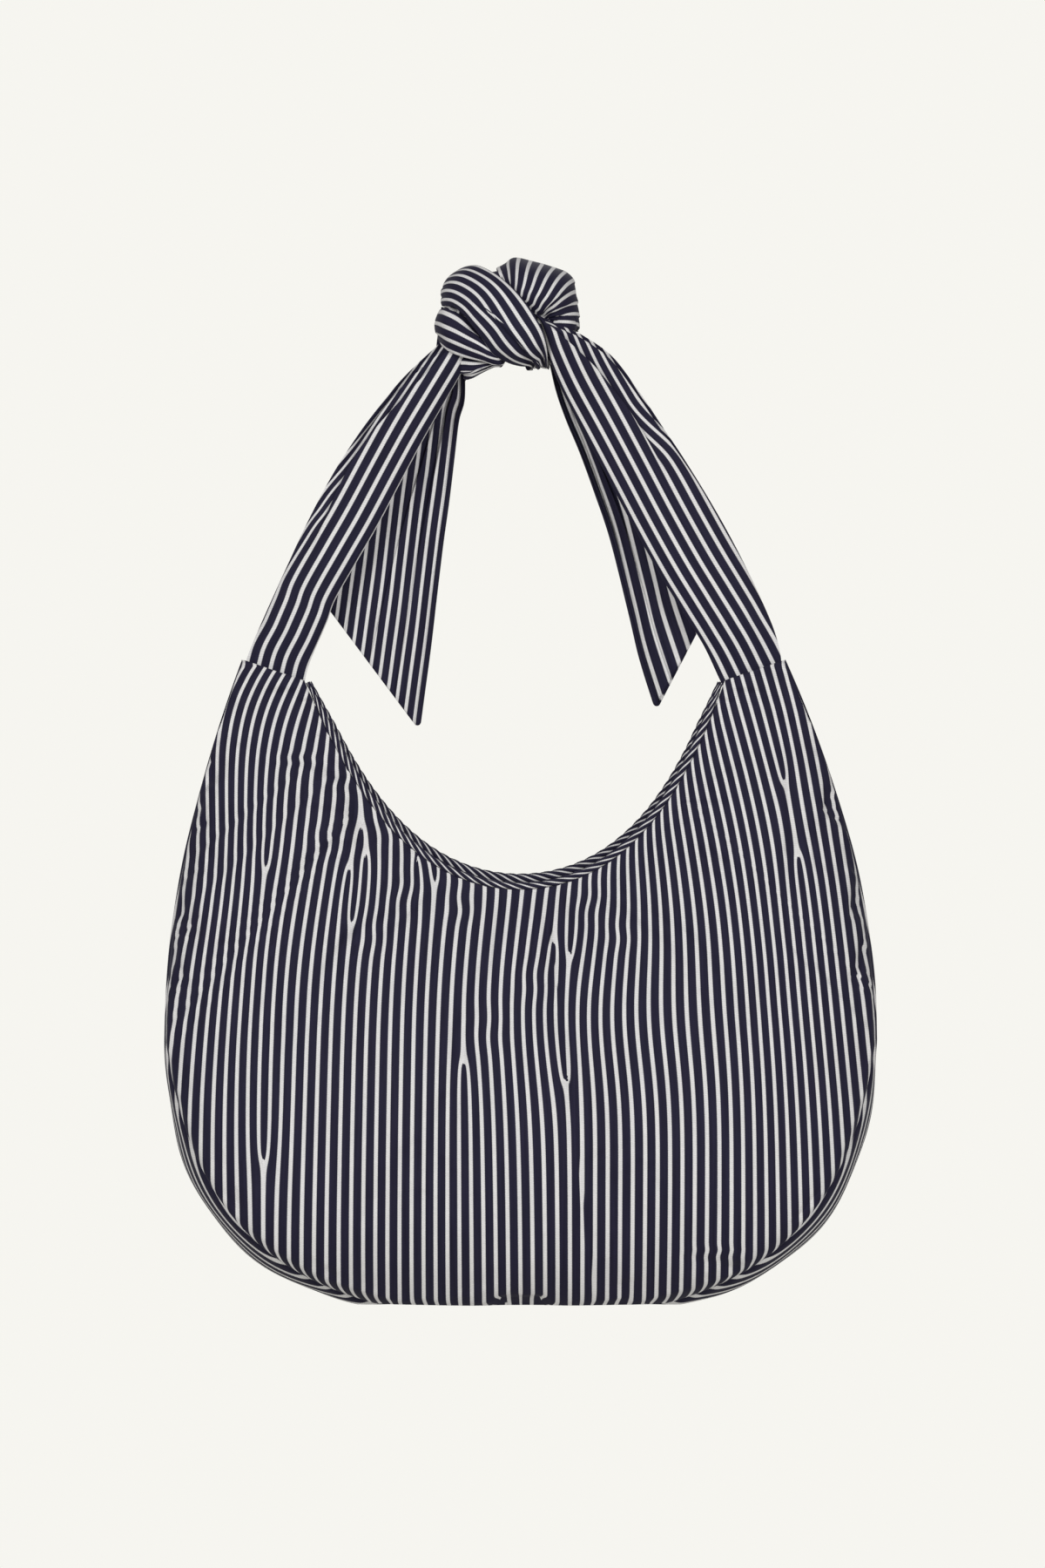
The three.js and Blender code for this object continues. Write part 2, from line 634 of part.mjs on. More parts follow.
for (const [name, profile, side, depth] of [
  ["snap_socket", snapSocketProfile, "front", snapFoot],
  ["snap_stud", snapStudProfile, "back", snapFoot],
  ["snap_socket_plate", snapPlateProfile, "front", snapPlateDepth],
  ["snap_stud_plate", snapPlateProfile, "back", snapPlateDepth],
]) {
  const { geometry, place } = onPanel(profile, side, snapDrop, depth);
  bag.add(mesh(name, geometry, "metal", place));
}

const handle = new THREE.Group();
const bights = [levelKnotBight(), uprightKnotBight()];
handle.add(mesh("left_knot_bight", bights[0], "stripe"));
handle.add(mesh("right_knot_bight", bights[1], "stripeDark"));
handle.add(mesh("left_strap", clearOf(strap(-1, leftStrap), bights), "stripe"));
handle.add(mesh("right_strap", clearOf(strap(1, rightStrap), bights), "stripe"));

const tails = new THREE.Group();
tails.add(mesh("left_tail", tail(leftTail), "stripeDark"));
tails.add(mesh("right_tail", tail(rightTail), "stripeDark"));

const knotBag = new THREE.Group();
knotBag.add(bag, handle, tails);

export default knotBag;
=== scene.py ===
# %% [markdown]
# # A knotted shoulder bag in striped cotton
# The bag is a soft crescent of navy and cream cotton. Its two cloth straps are tied in one knot above it,
# and the loose end of each strap hangs down behind it as a short tail. The frame below is the measured
# model. Every cloth piece made here lies on it, and all but the straps and the tails move with one of its
# bodies.

# %% Load the measured model
from functools import partial
import math

import bpy
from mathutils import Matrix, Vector
from mathutils.bvhtree import BVHTree
import numpy as np


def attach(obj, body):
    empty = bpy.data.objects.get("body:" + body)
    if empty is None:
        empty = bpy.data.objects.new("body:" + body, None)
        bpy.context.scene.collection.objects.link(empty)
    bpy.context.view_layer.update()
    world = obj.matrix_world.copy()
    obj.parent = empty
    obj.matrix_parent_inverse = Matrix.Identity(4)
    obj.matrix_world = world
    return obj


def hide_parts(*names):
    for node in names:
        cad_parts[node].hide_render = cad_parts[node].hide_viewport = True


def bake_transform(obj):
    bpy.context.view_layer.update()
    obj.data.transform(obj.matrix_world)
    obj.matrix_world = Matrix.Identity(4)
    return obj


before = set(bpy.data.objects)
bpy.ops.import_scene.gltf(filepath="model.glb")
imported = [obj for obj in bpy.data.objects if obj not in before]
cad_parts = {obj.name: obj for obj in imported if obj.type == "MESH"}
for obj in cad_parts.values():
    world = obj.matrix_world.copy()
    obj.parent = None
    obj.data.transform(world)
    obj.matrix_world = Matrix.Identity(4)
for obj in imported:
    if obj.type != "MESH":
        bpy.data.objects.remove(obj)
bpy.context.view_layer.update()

MM = 0.001

# %% [markdown]
# ## The camera
# The photograph is taken straight on from far away with a long lens, so that nothing looks closer or wider
# than it is. The view is 0.9 m high at the bag, and 0.6 m wide.

# %% Camera
VIEW_CENTRE = (0.001, -0.2375)
VIEW_HEIGHT = 0.9
CAMERA_DISTANCE = 4.0
SENSOR_HEIGHT = 36  # millimetres, as cameras count it

camera_data = bpy.data.cameras.new("camera")
camera_data.sensor_fit = "VERTICAL"
camera_data.sensor_height = SENSOR_HEIGHT
camera_data.lens = SENSOR_HEIGHT * CAMERA_DISTANCE / VIEW_HEIGHT
camera_data.clip_end = 50
camera = bpy.data.objects.new("camera", camera_data)
camera.location = (VIEW_CENTRE[0], -CAMERA_DISTANCE, VIEW_CENTRE[1])
camera.rotation_euler = (math.pi / 2, 0, 0)
bpy.context.scene.collection.objects.link(camera)
bpy.context.scene.camera = camera
print("lens:", round(camera_data.lens), "mm")

# %% [markdown]
# ## Small helpers for shapes
# Cloth is easiest to shape as a grid of points: rows one way, columns the other. Each point also gets its
# place in the flat cloth, across and along the stripes, in metres. That pair is its UV, and the stripes are
# drawn from it.

# %% Numbers that blend
def mix(a, b, t):
    return a + (b - a) * t


def smooth(t):
    t = np.clip(t, 0, 1)
    return t * t * (3 - 2 * t)


def bell(distance, width):
    return np.exp(-((distance / width) ** 2))


def spline(points, count):
    """A smooth line through the points, read at `count` places evenly by number of points."""
    points = np.asarray(points, float)
    last = len(points) - 1
    at = np.linspace(0, last, count)
    i = np.minimum(at.astype(int), last - 1)
    t = (at - i)[:, None]
    ends = np.vstack([2 * points[0] - points[1], points, 2 * points[-1] - points[-2]])
    p = [ends[i + k] for k in (0, 1, 2, 3)]
    return 0.5 * (
        2 * p[1] + (p[2] - p[0]) * t + (2 * p[0] - 5 * p[1] + 4 * p[2] - p[3]) * t**2
        + (3 * p[1] - p[0] - 3 * p[2] + p[3]) * t**3
    )


def by_length(points, count):
    """The same line with its points spaced evenly by length."""
    points = np.asarray(points, float)
    steps = np.linalg.norm(np.diff(points, axis=0), axis=1)
    run = np.concatenate([[0], np.cumsum(steps)])
    share = np.linspace(0, run[-1], count)
    return np.stack([np.interp(share, run, points[:, k]) for k in range(points.shape[1])], -1)


def run_along(grid, axis):
    """Length run so far along one axis of a grid of points."""
    steps = np.linalg.norm(np.diff(grid, axis=axis), axis=-1)
    start = np.zeros_like(np.take(steps, [0], axis))
    return np.concatenate([start, np.cumsum(steps, axis)], axis)


def normals_of(grid):
    """Unit normals of a grid: down its rows crossed with along its columns."""
    down = np.gradient(grid, axis=0)
    along = np.gradient(grid, axis=1)
    normal = np.cross(down, along)
    return normal / np.maximum(np.linalg.norm(normal, axis=-1, keepdims=True), 1e-12)


def pleat(grid, place, width, pull, depth, side=1, reach=4.0):
    """Lay a pleat along the rows: round `place` the cloth turns back under itself and goes on deeper.

    place, width: shares across the grid; pull: above 1 the cloth turns back, below it is only drawn together;
    depth: how far it sinks; side: 1 if the cloth at larger shares goes under; reach: how soon it rises again.
    """
    rows, columns = grid.shape[:2]
    as_column = lambda value: np.broadcast_to(np.asarray(value, float), rows)[:, None]
    place, width, pull, depth = (as_column(value) for value in (place, width, pull, depth))
    share = np.linspace(0, 1, columns)[None]
    off = (share - place) / width
    moved = np.clip(share - pull * width * off * np.exp(-off**2), 0, 1) * (columns - 1)
    under = 0.5 + 0.5 * np.tanh(2.2 * off * side)
    risen = np.exp(-np.maximum(0, off * side - 1) / reach)
    sunk = depth * under * risen * smooth((1 - np.abs(2 * share - 1)) / 0.12)
    low = np.minimum(moved.astype(int), columns - 2)
    part = (moved - low)[..., None]
    row = np.arange(rows)[:, None]
    normal = normals_of(grid)
    point = grid[row, low] * (1 - part) + grid[row, low + 1] * part
    facing = normal[row, low] * (1 - part) + normal[row, low + 1] * part
    return point - facing * sunk[..., None]


# %% Cloth from a grid
PITCH = 7.0 * MM  # one navy and one cream stripe


def cloth(name, grid, uv, material, closed=False, flip=False, thickness=0.0, caps=False):
    """A cloth object from a grid of points. `closed` joins the last column to the first."""
    rows, columns = grid.shape[:2]
    i, j = np.meshgrid(np.arange(rows - 1), np.arange(columns if closed else columns - 1), indexing="ij")
    i, j = i.ravel(), j.ravel()
    k = (j + 1) % columns
    corners = np.stack([i * columns + j, (i + 1) * columns + j, (i + 1) * columns + k, i * columns + k], -1)
    after = j + 1 if closed and uv.shape[1] > columns else k
    place = np.stack([uv[i, j], uv[i + 1, j], uv[i + 1, after], uv[i, after]], 1)
    # A stripe that ends in a fold leaves a jump of whole stripes: it is taken out of each face.
    jump = np.round((place[:, :, 0] - place[:, :1, 0]) / PITCH)
    place[:, :, 0] -= jump * PITCH
    if flip:
        corners, place = corners[:, ::-1], place[:, ::-1]
    faces = [tuple(f) for f in corners.tolist()]
    points = grid.reshape(-1, 3)
    places = list(place.reshape(-1, 2))
    if caps:
        for row, turn in ((0, 1), (rows - 1, -1)):
            ring = [row * columns + c for c in range(columns)]
            ring = ring if (turn == 1) != flip else ring[::-1]
            faces.append(tuple(ring))
            places.extend([uv[row, c % columns] for c in range(columns)])
    mesh = bpy.data.meshes.new(name)
    mesh.from_pydata(points.tolist(), [], faces)
    layer = mesh.uv_layers.new(name="UVMap")
    layer.data.foreach_set("uv", np.asarray(places, np.float32).ravel())
    mesh.polygons.foreach_set("use_smooth", [face < len(corners) for face in range(len(mesh.polygons))])
    mesh.materials.append(material)
    obj = bpy.data.objects.new(name, mesh)
    bpy.context.scene.collection.objects.link(obj)
    if thickness:
        solid = obj.modifiers.new("thickness", "SOLIDIFY")
        solid.thickness, solid.offset = thickness, -1
        solid.use_even_offset = False
    area = sum(face.area for face in mesh.polygons) / (2 if closed else 1)
    print(f"{name}: {len(mesh.polygons)} faces, {area * 1e4:.0f} square cm of cloth")
    return obj


# %% [markdown]
# ## The striped cotton
# The cloth is woven: a cream stripe stands a hair above the navy ground, its edges are slightly ragged
# where the threads turn, and both have a fine twill. A material can't be a single flat colour, so a node
# group draws the stripes from the cloth's own UV and gives out a colour, a height and a roughness. Every
# striped piece uses it.

# %% Node helpers
def value_of(tree, value, socket):
    if isinstance(value, bpy.types.NodeSocket):
        tree.links.new(value, socket)
    elif value is not None:
        socket.default_value = value


def calc(tree, operation, *values, clamp=False):
    node = tree.nodes.new("ShaderNodeMath")
    node.operation, node.use_clamp = operation, clamp
    for socket, value in zip(node.inputs, values):
        value_of(tree, value, socket)
    return node.outputs[0]


def blend_colours(tree, share, a, b, how="MIX"):
    node = tree.nodes.new("ShaderNodeMix")
    node.data_type, node.blend_type = "RGBA", how
    value_of(tree, share, node.inputs["Factor"])
    value_of(tree, a, node.inputs[6])
    value_of(tree, b, node.inputs[7])
    return node.outputs[2]


def noise(tree, vector, scale, detail=2.0):
    node = tree.nodes.new("ShaderNodeTexNoise")
    value_of(tree, vector, node.inputs["Vector"])
    node.inputs["Scale"].default_value = scale
    node.inputs["Detail"].default_value = detail
    return node.outputs["Fac"]


def new_group(name, inputs, outputs):
    tree = bpy.data.node_groups.new(name, "ShaderNodeTree")
    for label, kind, default in inputs:
        socket = tree.interface.new_socket(name=label, in_out="INPUT", socket_type=kind)
        if default is not None:
            socket.default_value = default
    for label, kind in outputs:
        tree.interface.new_socket(name=label, in_out="OUTPUT", socket_type=kind)
    return tree, tree.nodes.new("NodeGroupInput").outputs, tree.nodes.new("NodeGroupOutput").inputs


# %% The weave, shared by every cloth
FLOAT, COLOUR, VECTOR = "NodeSocketFloat", "NodeSocketColor", "NodeSocketVector"

weave_tree, given, result = new_group(
    "twill weave",
    [("Across", FLOAT, 0.0), ("Along", FLOAT, 0.0), ("Thread", FLOAT, 0.45 * MM)],
    [("Height", FLOAT)],
)
maths = partial(calc, weave_tree)
across = maths("DIVIDE", given["Across"], given["Thread"])
along = maths("DIVIDE", given["Along"], given["Thread"])
thread = maths("ABSOLUTE", maths("SINE", maths("MULTIPLY", across, math.pi)))
step = maths("MULTIPLY", maths("FLOOR", across), 0.33)
over_under = maths("SINE", maths("MULTIPLY", maths("ADD", along, step), 2 * math.pi / 3))
over_under = maths("MULTIPLY_ADD", over_under, 0.35, 0.65)
weave_tree.links.new(maths("MULTIPLY", thread, over_under), result["Height"])

# %% The stripes
NAVY, CREAM = (0.0176, 0.0159, 0.0352, 1), (0.80, 0.788, 0.788, 1)
CREAM_WIDTH = 2.25 * MM
CREAM_EDGE = 0.35 * MM  # over which the colour changes at a stripe's edge
CREAM_SLOPE = 0.9 * MM  # over which the cream stripe rises from the ground
RAGGED_STEP = 0.45 * MM  # how long one tooth of the ragged edge is

stripe_tree, given, result = new_group(
    "striped cotton",
    [("UV", VECTOR, None), ("Position", VECTOR, None), ("Pitch", FLOAT, PITCH),
     ("Cream Width", FLOAT, CREAM_WIDTH),
     ("Navy", COLOUR, NAVY), ("Cream", COLOUR, CREAM), ("Wear", FLOAT, 0.06)],
    [("Color", COLOUR), ("Height", FLOAT), ("Cream Mask", FLOAT), ("Roughness", FLOAT)],
)
maths = partial(calc, stripe_tree)
split = stripe_tree.nodes.new("ShaderNodeSeparateXYZ")
stripe_tree.links.new(given["UV"], split.inputs[0])
u, v = split.outputs[0], split.outputs[1]
ragged = maths("PINGPONG", v, RAGGED_STEP)
ragged = maths("MULTIPLY_ADD", ragged, 0.34, -0.07 * MM)
fold = maths("ABSOLUTE", maths("WRAP", u, maths("MULTIPLY", given["Pitch"], 0.5),
                               maths("MULTIPLY", given["Pitch"], -0.5)))
edge = maths("SUBTRACT", maths("MULTIPLY", given["Cream Width"], 0.5), fold)
edge = maths("SUBTRACT", edge, ragged)
cream_mask = maths("MULTIPLY_ADD", edge, 1 / CREAM_EDGE, 0.5, clamp=True)
weave_node = stripe_tree.nodes.new("ShaderNodeGroup")
weave_node.node_tree = weave_tree
stripe_tree.links.new(u, weave_node.inputs["Across"])
stripe_tree.links.new(v, weave_node.inputs["Along"])
weave_height = weave_node.outputs["Height"]
cloud = noise(stripe_tree, given["Position"], 38.0, 3.0)
fleck = noise(stripe_tree, given["Position"], 900.0, 1.0)
tone = maths("MULTIPLY_ADD", maths("SUBTRACT", cloud, 0.5), given["Wear"], 1.0)
tone = maths("MULTIPLY_ADD", maths("SUBTRACT", fleck, 0.5), 0.16, tone)
# Painted shade and light: the colour is darker in the low grooves between the threads and lighter on their
# tops, following the weave's height, which also drives the bump.
tone = maths("MULTIPLY", tone, maths("MULTIPLY_ADD", weave_height, 0.22, 0.88))
long_way = stripe_tree.nodes.new("ShaderNodeCombineXYZ")
stripe_tree.links.new(u, long_way.inputs[0])
stripe_tree.links.new(maths("MULTIPLY", v, 0.03), long_way.inputs[1])
streak = maths("SUBTRACT", noise(stripe_tree, long_way.outputs[0], 620.0, 1.0), 0.5)
streaked = maths("MULTIPLY_ADD", maths("SUBTRACT", 1.0, cream_mask), 0.55, 0.15)
tone = maths("MULTIPLY_ADD", streak, streaked, tone)
plain = blend_colours(stripe_tree, cream_mask, given["Navy"], given["Cream"])
shade = stripe_tree.nodes.new("ShaderNodeCombineXYZ")
for socket in shade.inputs:
    stripe_tree.links.new(tone, socket)
stripe_tree.links.new(blend_colours(stripe_tree, 1.0, plain, shade.outputs[0], "MULTIPLY"), result["Color"])
sloped = maths("MULTIPLY_ADD", edge, 1 / CREAM_SLOPE, 0.5, clamp=True)
raised = maths("SMOOTH_MIN", sloped, 1.0, 0.3)
stripe_tree.links.new(maths("MULTIPLY_ADD", weave_height, 0.35, raised), result["Height"])
stripe_tree.links.new(cream_mask, result["Cream Mask"])
stripe_tree.links.new(maths("MULTIPLY_ADD", cream_mask, 0.1, 0.66), result["Roughness"])


# %% A cloth material from the group
def place_nodes(tree):
    uv = tree.nodes.new("ShaderNodeUVMap")
    uv.uv_map = "UVMap"
    position = tree.nodes.new("ShaderNodeTexCoord").outputs["Object"]
    return uv.outputs[0], position


def finish_cloth(tree, colour, height, roughness, depth, sheen=0.03):
    shader = tree.nodes["Principled BSDF"]
    value_of(tree, colour, shader.inputs["Base Color"])
    value_of(tree, roughness, shader.inputs["Roughness"])
    shader.inputs["Specular IOR Level"].default_value = 0.08
    shader.inputs["Sheen Weight"].default_value = sheen
    shader.inputs["Sheen Roughness"].default_value = 0.45
    bump = tree.nodes.new("ShaderNodeBump")
    bump.inputs["Strength"].default_value = 0.6
    bump.inputs["Distance"].default_value = depth
    tree.links.new(height, bump.inputs["Height"])
    tree.links.new(bump.outputs[0], shader.inputs["Normal"])


def striped_material(name, **changes):
    material = bpy.data.materials.new(name)
    material.use_nodes = True
    tree = material.node_tree
    group = tree.nodes.new("ShaderNodeGroup")
    group.node_tree = stripe_tree
    uv, position = place_nodes(tree)
    tree.links.new(uv, group.inputs["UV"])
    tree.links.new(position, group.inputs["Position"])
    for label, value in changes.items():
        group.inputs[label.replace("_", " ")].default_value = value
    finish_cloth(tree, group.outputs["Color"], group.outputs["Height"], group.outputs["Roughness"], 0.07 * MM)
    return material


striped = striped_material("striped cotton")
BIAS_PITCH = 3.3 * MM
striped_bias = striped_material("striped cotton on the bias", Pitch=BIAS_PITCH, Cream_Width=0.85 * MM)


def plain_material(name, colour, thread, roughness=0.8, sheen=0.04, depth=0.08 * MM):
    material = bpy.data.materials.new(name)
    material.use_nodes = True
    tree = material.node_tree
    uv, position = place_nodes(tree)
    split = tree.nodes.new("ShaderNodeSeparateXYZ")
    tree.links.new(uv, split.inputs[0])
    weave = tree.nodes.new("ShaderNodeGroup")
    weave.node_tree = weave_tree
    tree.links.new(split.outputs[0], weave.inputs["Across"])
    tree.links.new(split.outputs[1], weave.inputs["Along"])
    weave.inputs["Thread"].default_value = thread
    # Partly painted shade: the colour goes towards a darker copy where the weave's height is low, between the
    # threads; the noise adds a random mottle.
    share = calc(tree, "MULTIPLY_ADD", noise(tree, position, 60.0), 0.25,
                 calc(tree, "MULTIPLY", weave.outputs[0], 0.5))
    gap_shade_and_mottle_colour = tuple(c * 0.72 for c in colour[:3]) + (1,)
    finish_cloth(tree, blend_colours(tree, share, gap_shade_and_mottle_colour, colour), weave.outputs[0], roughness, depth, sheen)
    return material


lining_cotton = plain_material("lining cotton", (0.060, 0.058, 0.095, 1), 0.32 * MM)
thread_cotton = plain_material("sewing thread", (0.05, 0.048, 0.085, 1), 0.2 * MM, 0.6)
label_satin = plain_material("woven label", (0.62, 0.60, 0.57, 1), 0.25 * MM, 0.42, 0.2)

# %% [markdown]
# ## The bag's form
# The body is cut from four pieces: a front and a back panel, and two lens-shaped gussets at the sides. The
# same few curves give all of them: the outline, the mouth's edge, how wide a gusset is, and how far a panel
# stands out. They are the measured model's own, so that each piece lies on its solid. s runs round the bag
# from the left shoulder (0) by the base (0.5) to the right shoulder (1), and t runs from the mouth's edge
# (0) to the seam (1).

# %% Outline and mouth
SEAM_Z, BASE_Z, WIDEST_Z, MOUTH_Z = -0.172, -0.535, -0.377, -0.298
HALF_WIDTH = 0.203
LOW_HEIGHT = 0.1645  # from the widest place to the outline's lowest
SHOULDER_OUT = (0.1562, -0.166)
SHOULDER_IN_Z = -0.178
MOUTH_END = 0.12072
MOUTH_RADIUS = 0.091


def read_line(points, share):
    steps = np.linalg.norm(np.diff(points, axis=0), axis=1)
    run = np.concatenate([[0], np.cumsum(steps)])
    return tuple(np.interp(share * run[-1], run, points[:, k]) for k in (0, 1))


def half_outline():
    up = 1 - np.arange(160) / 160
    side = np.stack([HALF_WIDTH - (HALF_WIDTH - SHOULDER_OUT[0]) * up**1.87,
                     mix(WIDEST_Z, SHOULDER_OUT[1], up)], -1)
    angle = np.linspace(0, np.pi / 2, 161)
    across = np.maximum(np.cos(angle), 0) ** (2 / 3)
    low = np.stack([HALF_WIDTH * across, WIDEST_Z - LOW_HEIGHT * np.sin(angle) ** (2 / 2.5)], -1)
    return np.vstack([side, low])


def mouth_line(rise):
    x = np.linspace(-MOUTH_END, MOUTH_END, 161)
    square = 1 / (2 * MOUTH_RADIUS)
    quartic = (SHOULDER_IN_Z - MOUTH_Z - square * MOUTH_END**2) / MOUTH_END**4
    return np.stack([x, MOUTH_Z + square * x**2 + quartic * x**4 + rise * (1 - (x / MOUTH_END) ** 2)], -1)


OUTLINE = half_outline()
BACK_RISE = 3 * MM  # how much higher the back edge of the mouth stands
MOUTHS = {"front": mouth_line(0.0), "back": mouth_line(BACK_RISE)}


SHOULDER_LEAN = 3.8 * MM


def lean(z):
    """How far the bag hangs to the left, more towards the shoulders."""
    return -SHOULDER_LEAN * np.clip((z - WIDEST_Z) / (SEAM_Z - WIDEST_Z), 0, 1.1) ** 2


def outline_at(s):
    s = np.clip(s, 0, 1)
    x, z = read_line(OUTLINE, 1 - np.abs(2 * s - 1))
    x = np.where(s < 0.5, -x, x) + lean(z)
    return np.stack([x, np.zeros_like(x), z], -1)


def outline_normal(s):
    along = outline_at(s + 0.004) - outline_at(s - 0.004)
    normal = np.stack([along[..., 2], np.zeros_like(s), -along[..., 0]], -1)
    return normal / np.linalg.norm(normal, axis=-1, keepdims=True)


# %% Gusset width and panel depth
GUSSET_END = 0.86  # share of the way from shoulder to base
INSET_START = 0.43
SEAM_INSET = 10 * MM
GUSSET_HALF = 38 * MM
THIN_TOP, THIN_FOOT = 0.42 * MM, 0.15 * MM  # what is left at a gusset's points


def gusset_half(s):
    way = (1 - np.abs(2 * s - 1)) / GUSSET_END
    power = math.log(0.5) / math.log(0.75)
    wide = np.sin(np.pi * np.clip(way, 0, 1) ** power) ** 1.4
    half = mix(THIN_TOP, THIN_FOOT, smooth(way)) + (GUSSET_HALF - THIN_TOP) * wide
    return np.where(way >= 1, THIN_FOOT, half)


def inset_at(s):
    way = ((1 - np.abs(2 * s - 1)) - INSET_START) / (GUSSET_END - INSET_START)
    return SEAM_INSET * np.sin(np.pi * np.clip(way, 0, 1))


def arch(t):
    return (1 - (1 - t) ** 2) * np.sqrt(np.maximum(0, 1 - t**5))


FULLEST_AT = 0.69
FULLEST = 0.5 * MM, 57 * MM  # how far a panel stands out, at the shoulders and in the middle
LIP_GAP = 0.45 * MM, 15 * MM  # the same for the mouth's edge


def panel_point(side, s, t):
    mouth_x, mouth_z = read_line(MOUTHS[side], s)
    seam = outline_at(s) - outline_normal(s) * inset_at(s)[..., None]
    middle = np.sin(np.pi * s)
    lip = mix(*LIP_GAP, middle**1.2)
    fullest = mix(*FULLEST, middle**1.1)
    fullness = fullest - mix(lip, gusset_half(s), FULLEST_AT)
    depth = mix(lip, gusset_half(s), t) + fullness * arch(t) / arch(FULLEST_AT)
    x = mix(mouth_x + lean(mouth_z), seam[..., 0], t)
    z = mix(mouth_z, seam[..., 2], t)
    return np.stack([x, depth * (-1 if side == "front" else 1), z], -1)


def rows_of_panel(count):
    """Rows from the mouth to the seam, closer together towards the seam, where the cloth turns fastest."""
    share = np.linspace(0, 1, count)
    return 1 - (1 - share) ** 1.6


print("fullest point of the front:", np.round(panel_point("front", np.array([0.5]),
                                                          np.array([0.69])) * 1000)[0])

# %% [markdown]
# ## How the stripes lie on the front
# The panel is cut with straight stripes, but the cloth has been pulled to the knot and has relaxed again,
# so every stripe wanders sideways. Two fans draw the stripes to the shoulders, further the higher they are.
# Three soft drifts and one swell move them where the cloth sags. Where a stripe is swallowed by a small
# fold, the cloth on its left and right is out of step by one stripe: `FORKS` holds the end of each such
# fold, placed on the photo.

# %% The slide of the stripes, in millimetres
FANS_START, FANS_END = -450, -170  # heights between which the fans grow
RIGHT_FAN, LEFT_FAN = 44, 30  # how far the stripes are drawn at each shoulder
RIGHT_GROWTH, LEFT_GROWTH = 2.2, 7  # the larger, the later a fan opens
RIGHT_EDGE, LEFT_EDGE = (30, -30), 20  # where across a fan begins; the right one at its foot and at its top
RIGHT_SPREAD, LEFT_SPREAD = 150, 130  # how far from its edge a fan is full
DRIFTS = (  # size, height and half height; where across it begins and where it is full
    (-7, -268, 60, 90, 10),
    (12, -330, 150, 110, 200),
    (-13, -285, 95, -130, -200),
)
SWELL = (5, -368, 40, 50, 60)  # size, height and half height; place across and half width
FORKS = (  # across, height, and which way round the stripes are out of step
    (152, -235, 1), (158, -279, -1), (-92, -263, -1), (-148, -284, 1), (-87, -278, -1), (-57, -280, -1),
    (-50, -292, 1), (-99, -286, -1), (-99, -316, 1), (30, -334, 1), (21, -328, -1), (-32, -396, -1),
    (27, -405, 1), (-148, -450, 1),
)
FORK_NARROWNESS = 2.4
KINKS = (  # across, height, half width, half height and size of a short sideways kink
    (-127, -224, 12, 4.0, 0.9), (-100, -236, 9, 6, -1.1), (-75, -262, 10, 9, 1.2), (-112, -270, 10, 8, 1.0),
    (-66, -300, 9, 10, -1.3), (-84, -322, 9, 10, 1.0), (-34, -306, 8, 9, 1.2), (40, -306, 9, 10, -1.4),
    (56, -322, 9, 9, 1.0), (8, -350, 10, 10, 0.9), (-18, -376, 10, 12, -0.8), (112, -504, 14, 4, -0.7),
)


def slide_at(x, z):
    """How far the stripes are drawn aside."""
    x, z = x / MM, z / MM
    up = np.clip((z - FANS_START) / (FANS_END - FANS_START), 0, 1)
    slide = RIGHT_FAN * up**RIGHT_GROWTH * smooth((x - mix(*RIGHT_EDGE, up)) / RIGHT_SPREAD)
    slide = slide - LEFT_FAN * up**LEFT_GROWTH * smooth((LEFT_EDGE - x) / LEFT_SPREAD)
    for size, height, half, begins, full in DRIFTS:
        slide = slide + size * bell(z - height, half) * smooth((x - begins) / (full - begins))
    size, height, half, across, wide = SWELL
    return (slide + size * bell(z - height, half) * bell(x - across, wide)) * MM


def forked(x, z, forks):
    """The slide that the given forks make."""
    turns = sum(sign * np.arctan2(h * MM - z, FORK_NARROWNESS * (x - a * MM)) for a, h, sign in forks)
    return turns * PITCH / (2 * np.pi)


# Each fork is moved to the nearest place where two cream stripes run together in a Y.
for _ in range(4):
    for index, (a, h, sign) in enumerate(FORKS):
        others = FORKS[:index] + FORKS[index + 1:]
        here = np.array([a * MM]), np.array([h * MM])
        phase = float((here[0] + slide_at(*here) + forked(*here, others))[0]) + PITCH / 4
        a -= 0.8 * ((phase + PITCH / 2) % PITCH - PITCH / 2) / MM
        FORKS = FORKS[:index] + ((a, h, sign),) + FORKS[index + 1:]


def stripe_place(x, z):
    """Place across the flat cloth of a point on the front, seen from the front."""
    kink = sum(size * MM * bell(x - a * MM,
                                wide * MM) * np.sin(1.8 * (z - h * MM) / (high * MM)) * bell(z - h * MM,
                                                                                             high * MM)
               for a, h, wide, high, size in KINKS)
    return x + slide_at(x, z) + forked(x, z, FORKS) + kink


# %% [markdown]
# ## Folds in the panels
# Each pinched stripe lies in a short valley with a swell beside it. Softer gathers hang from the mouth's
# binding and from the shoulders, where the cloth is pulled towards the straps. They are only a millimetre
# or two deep, but without them the light would lie on the bag as on a balloon.

# %% Folds
GATHERS = ((-84, 16, 1.5), (-66, 12, 1.3), (-46, 14, 1.4), (-22, 18, 0.7), (6, 16, 0.6), (32, 13, 1.2),
           (50, 15, 1.1),
           (72, 12, 0.8), (92, 12, 0.9))  # across, width and depth of the soft gathers under the mouth


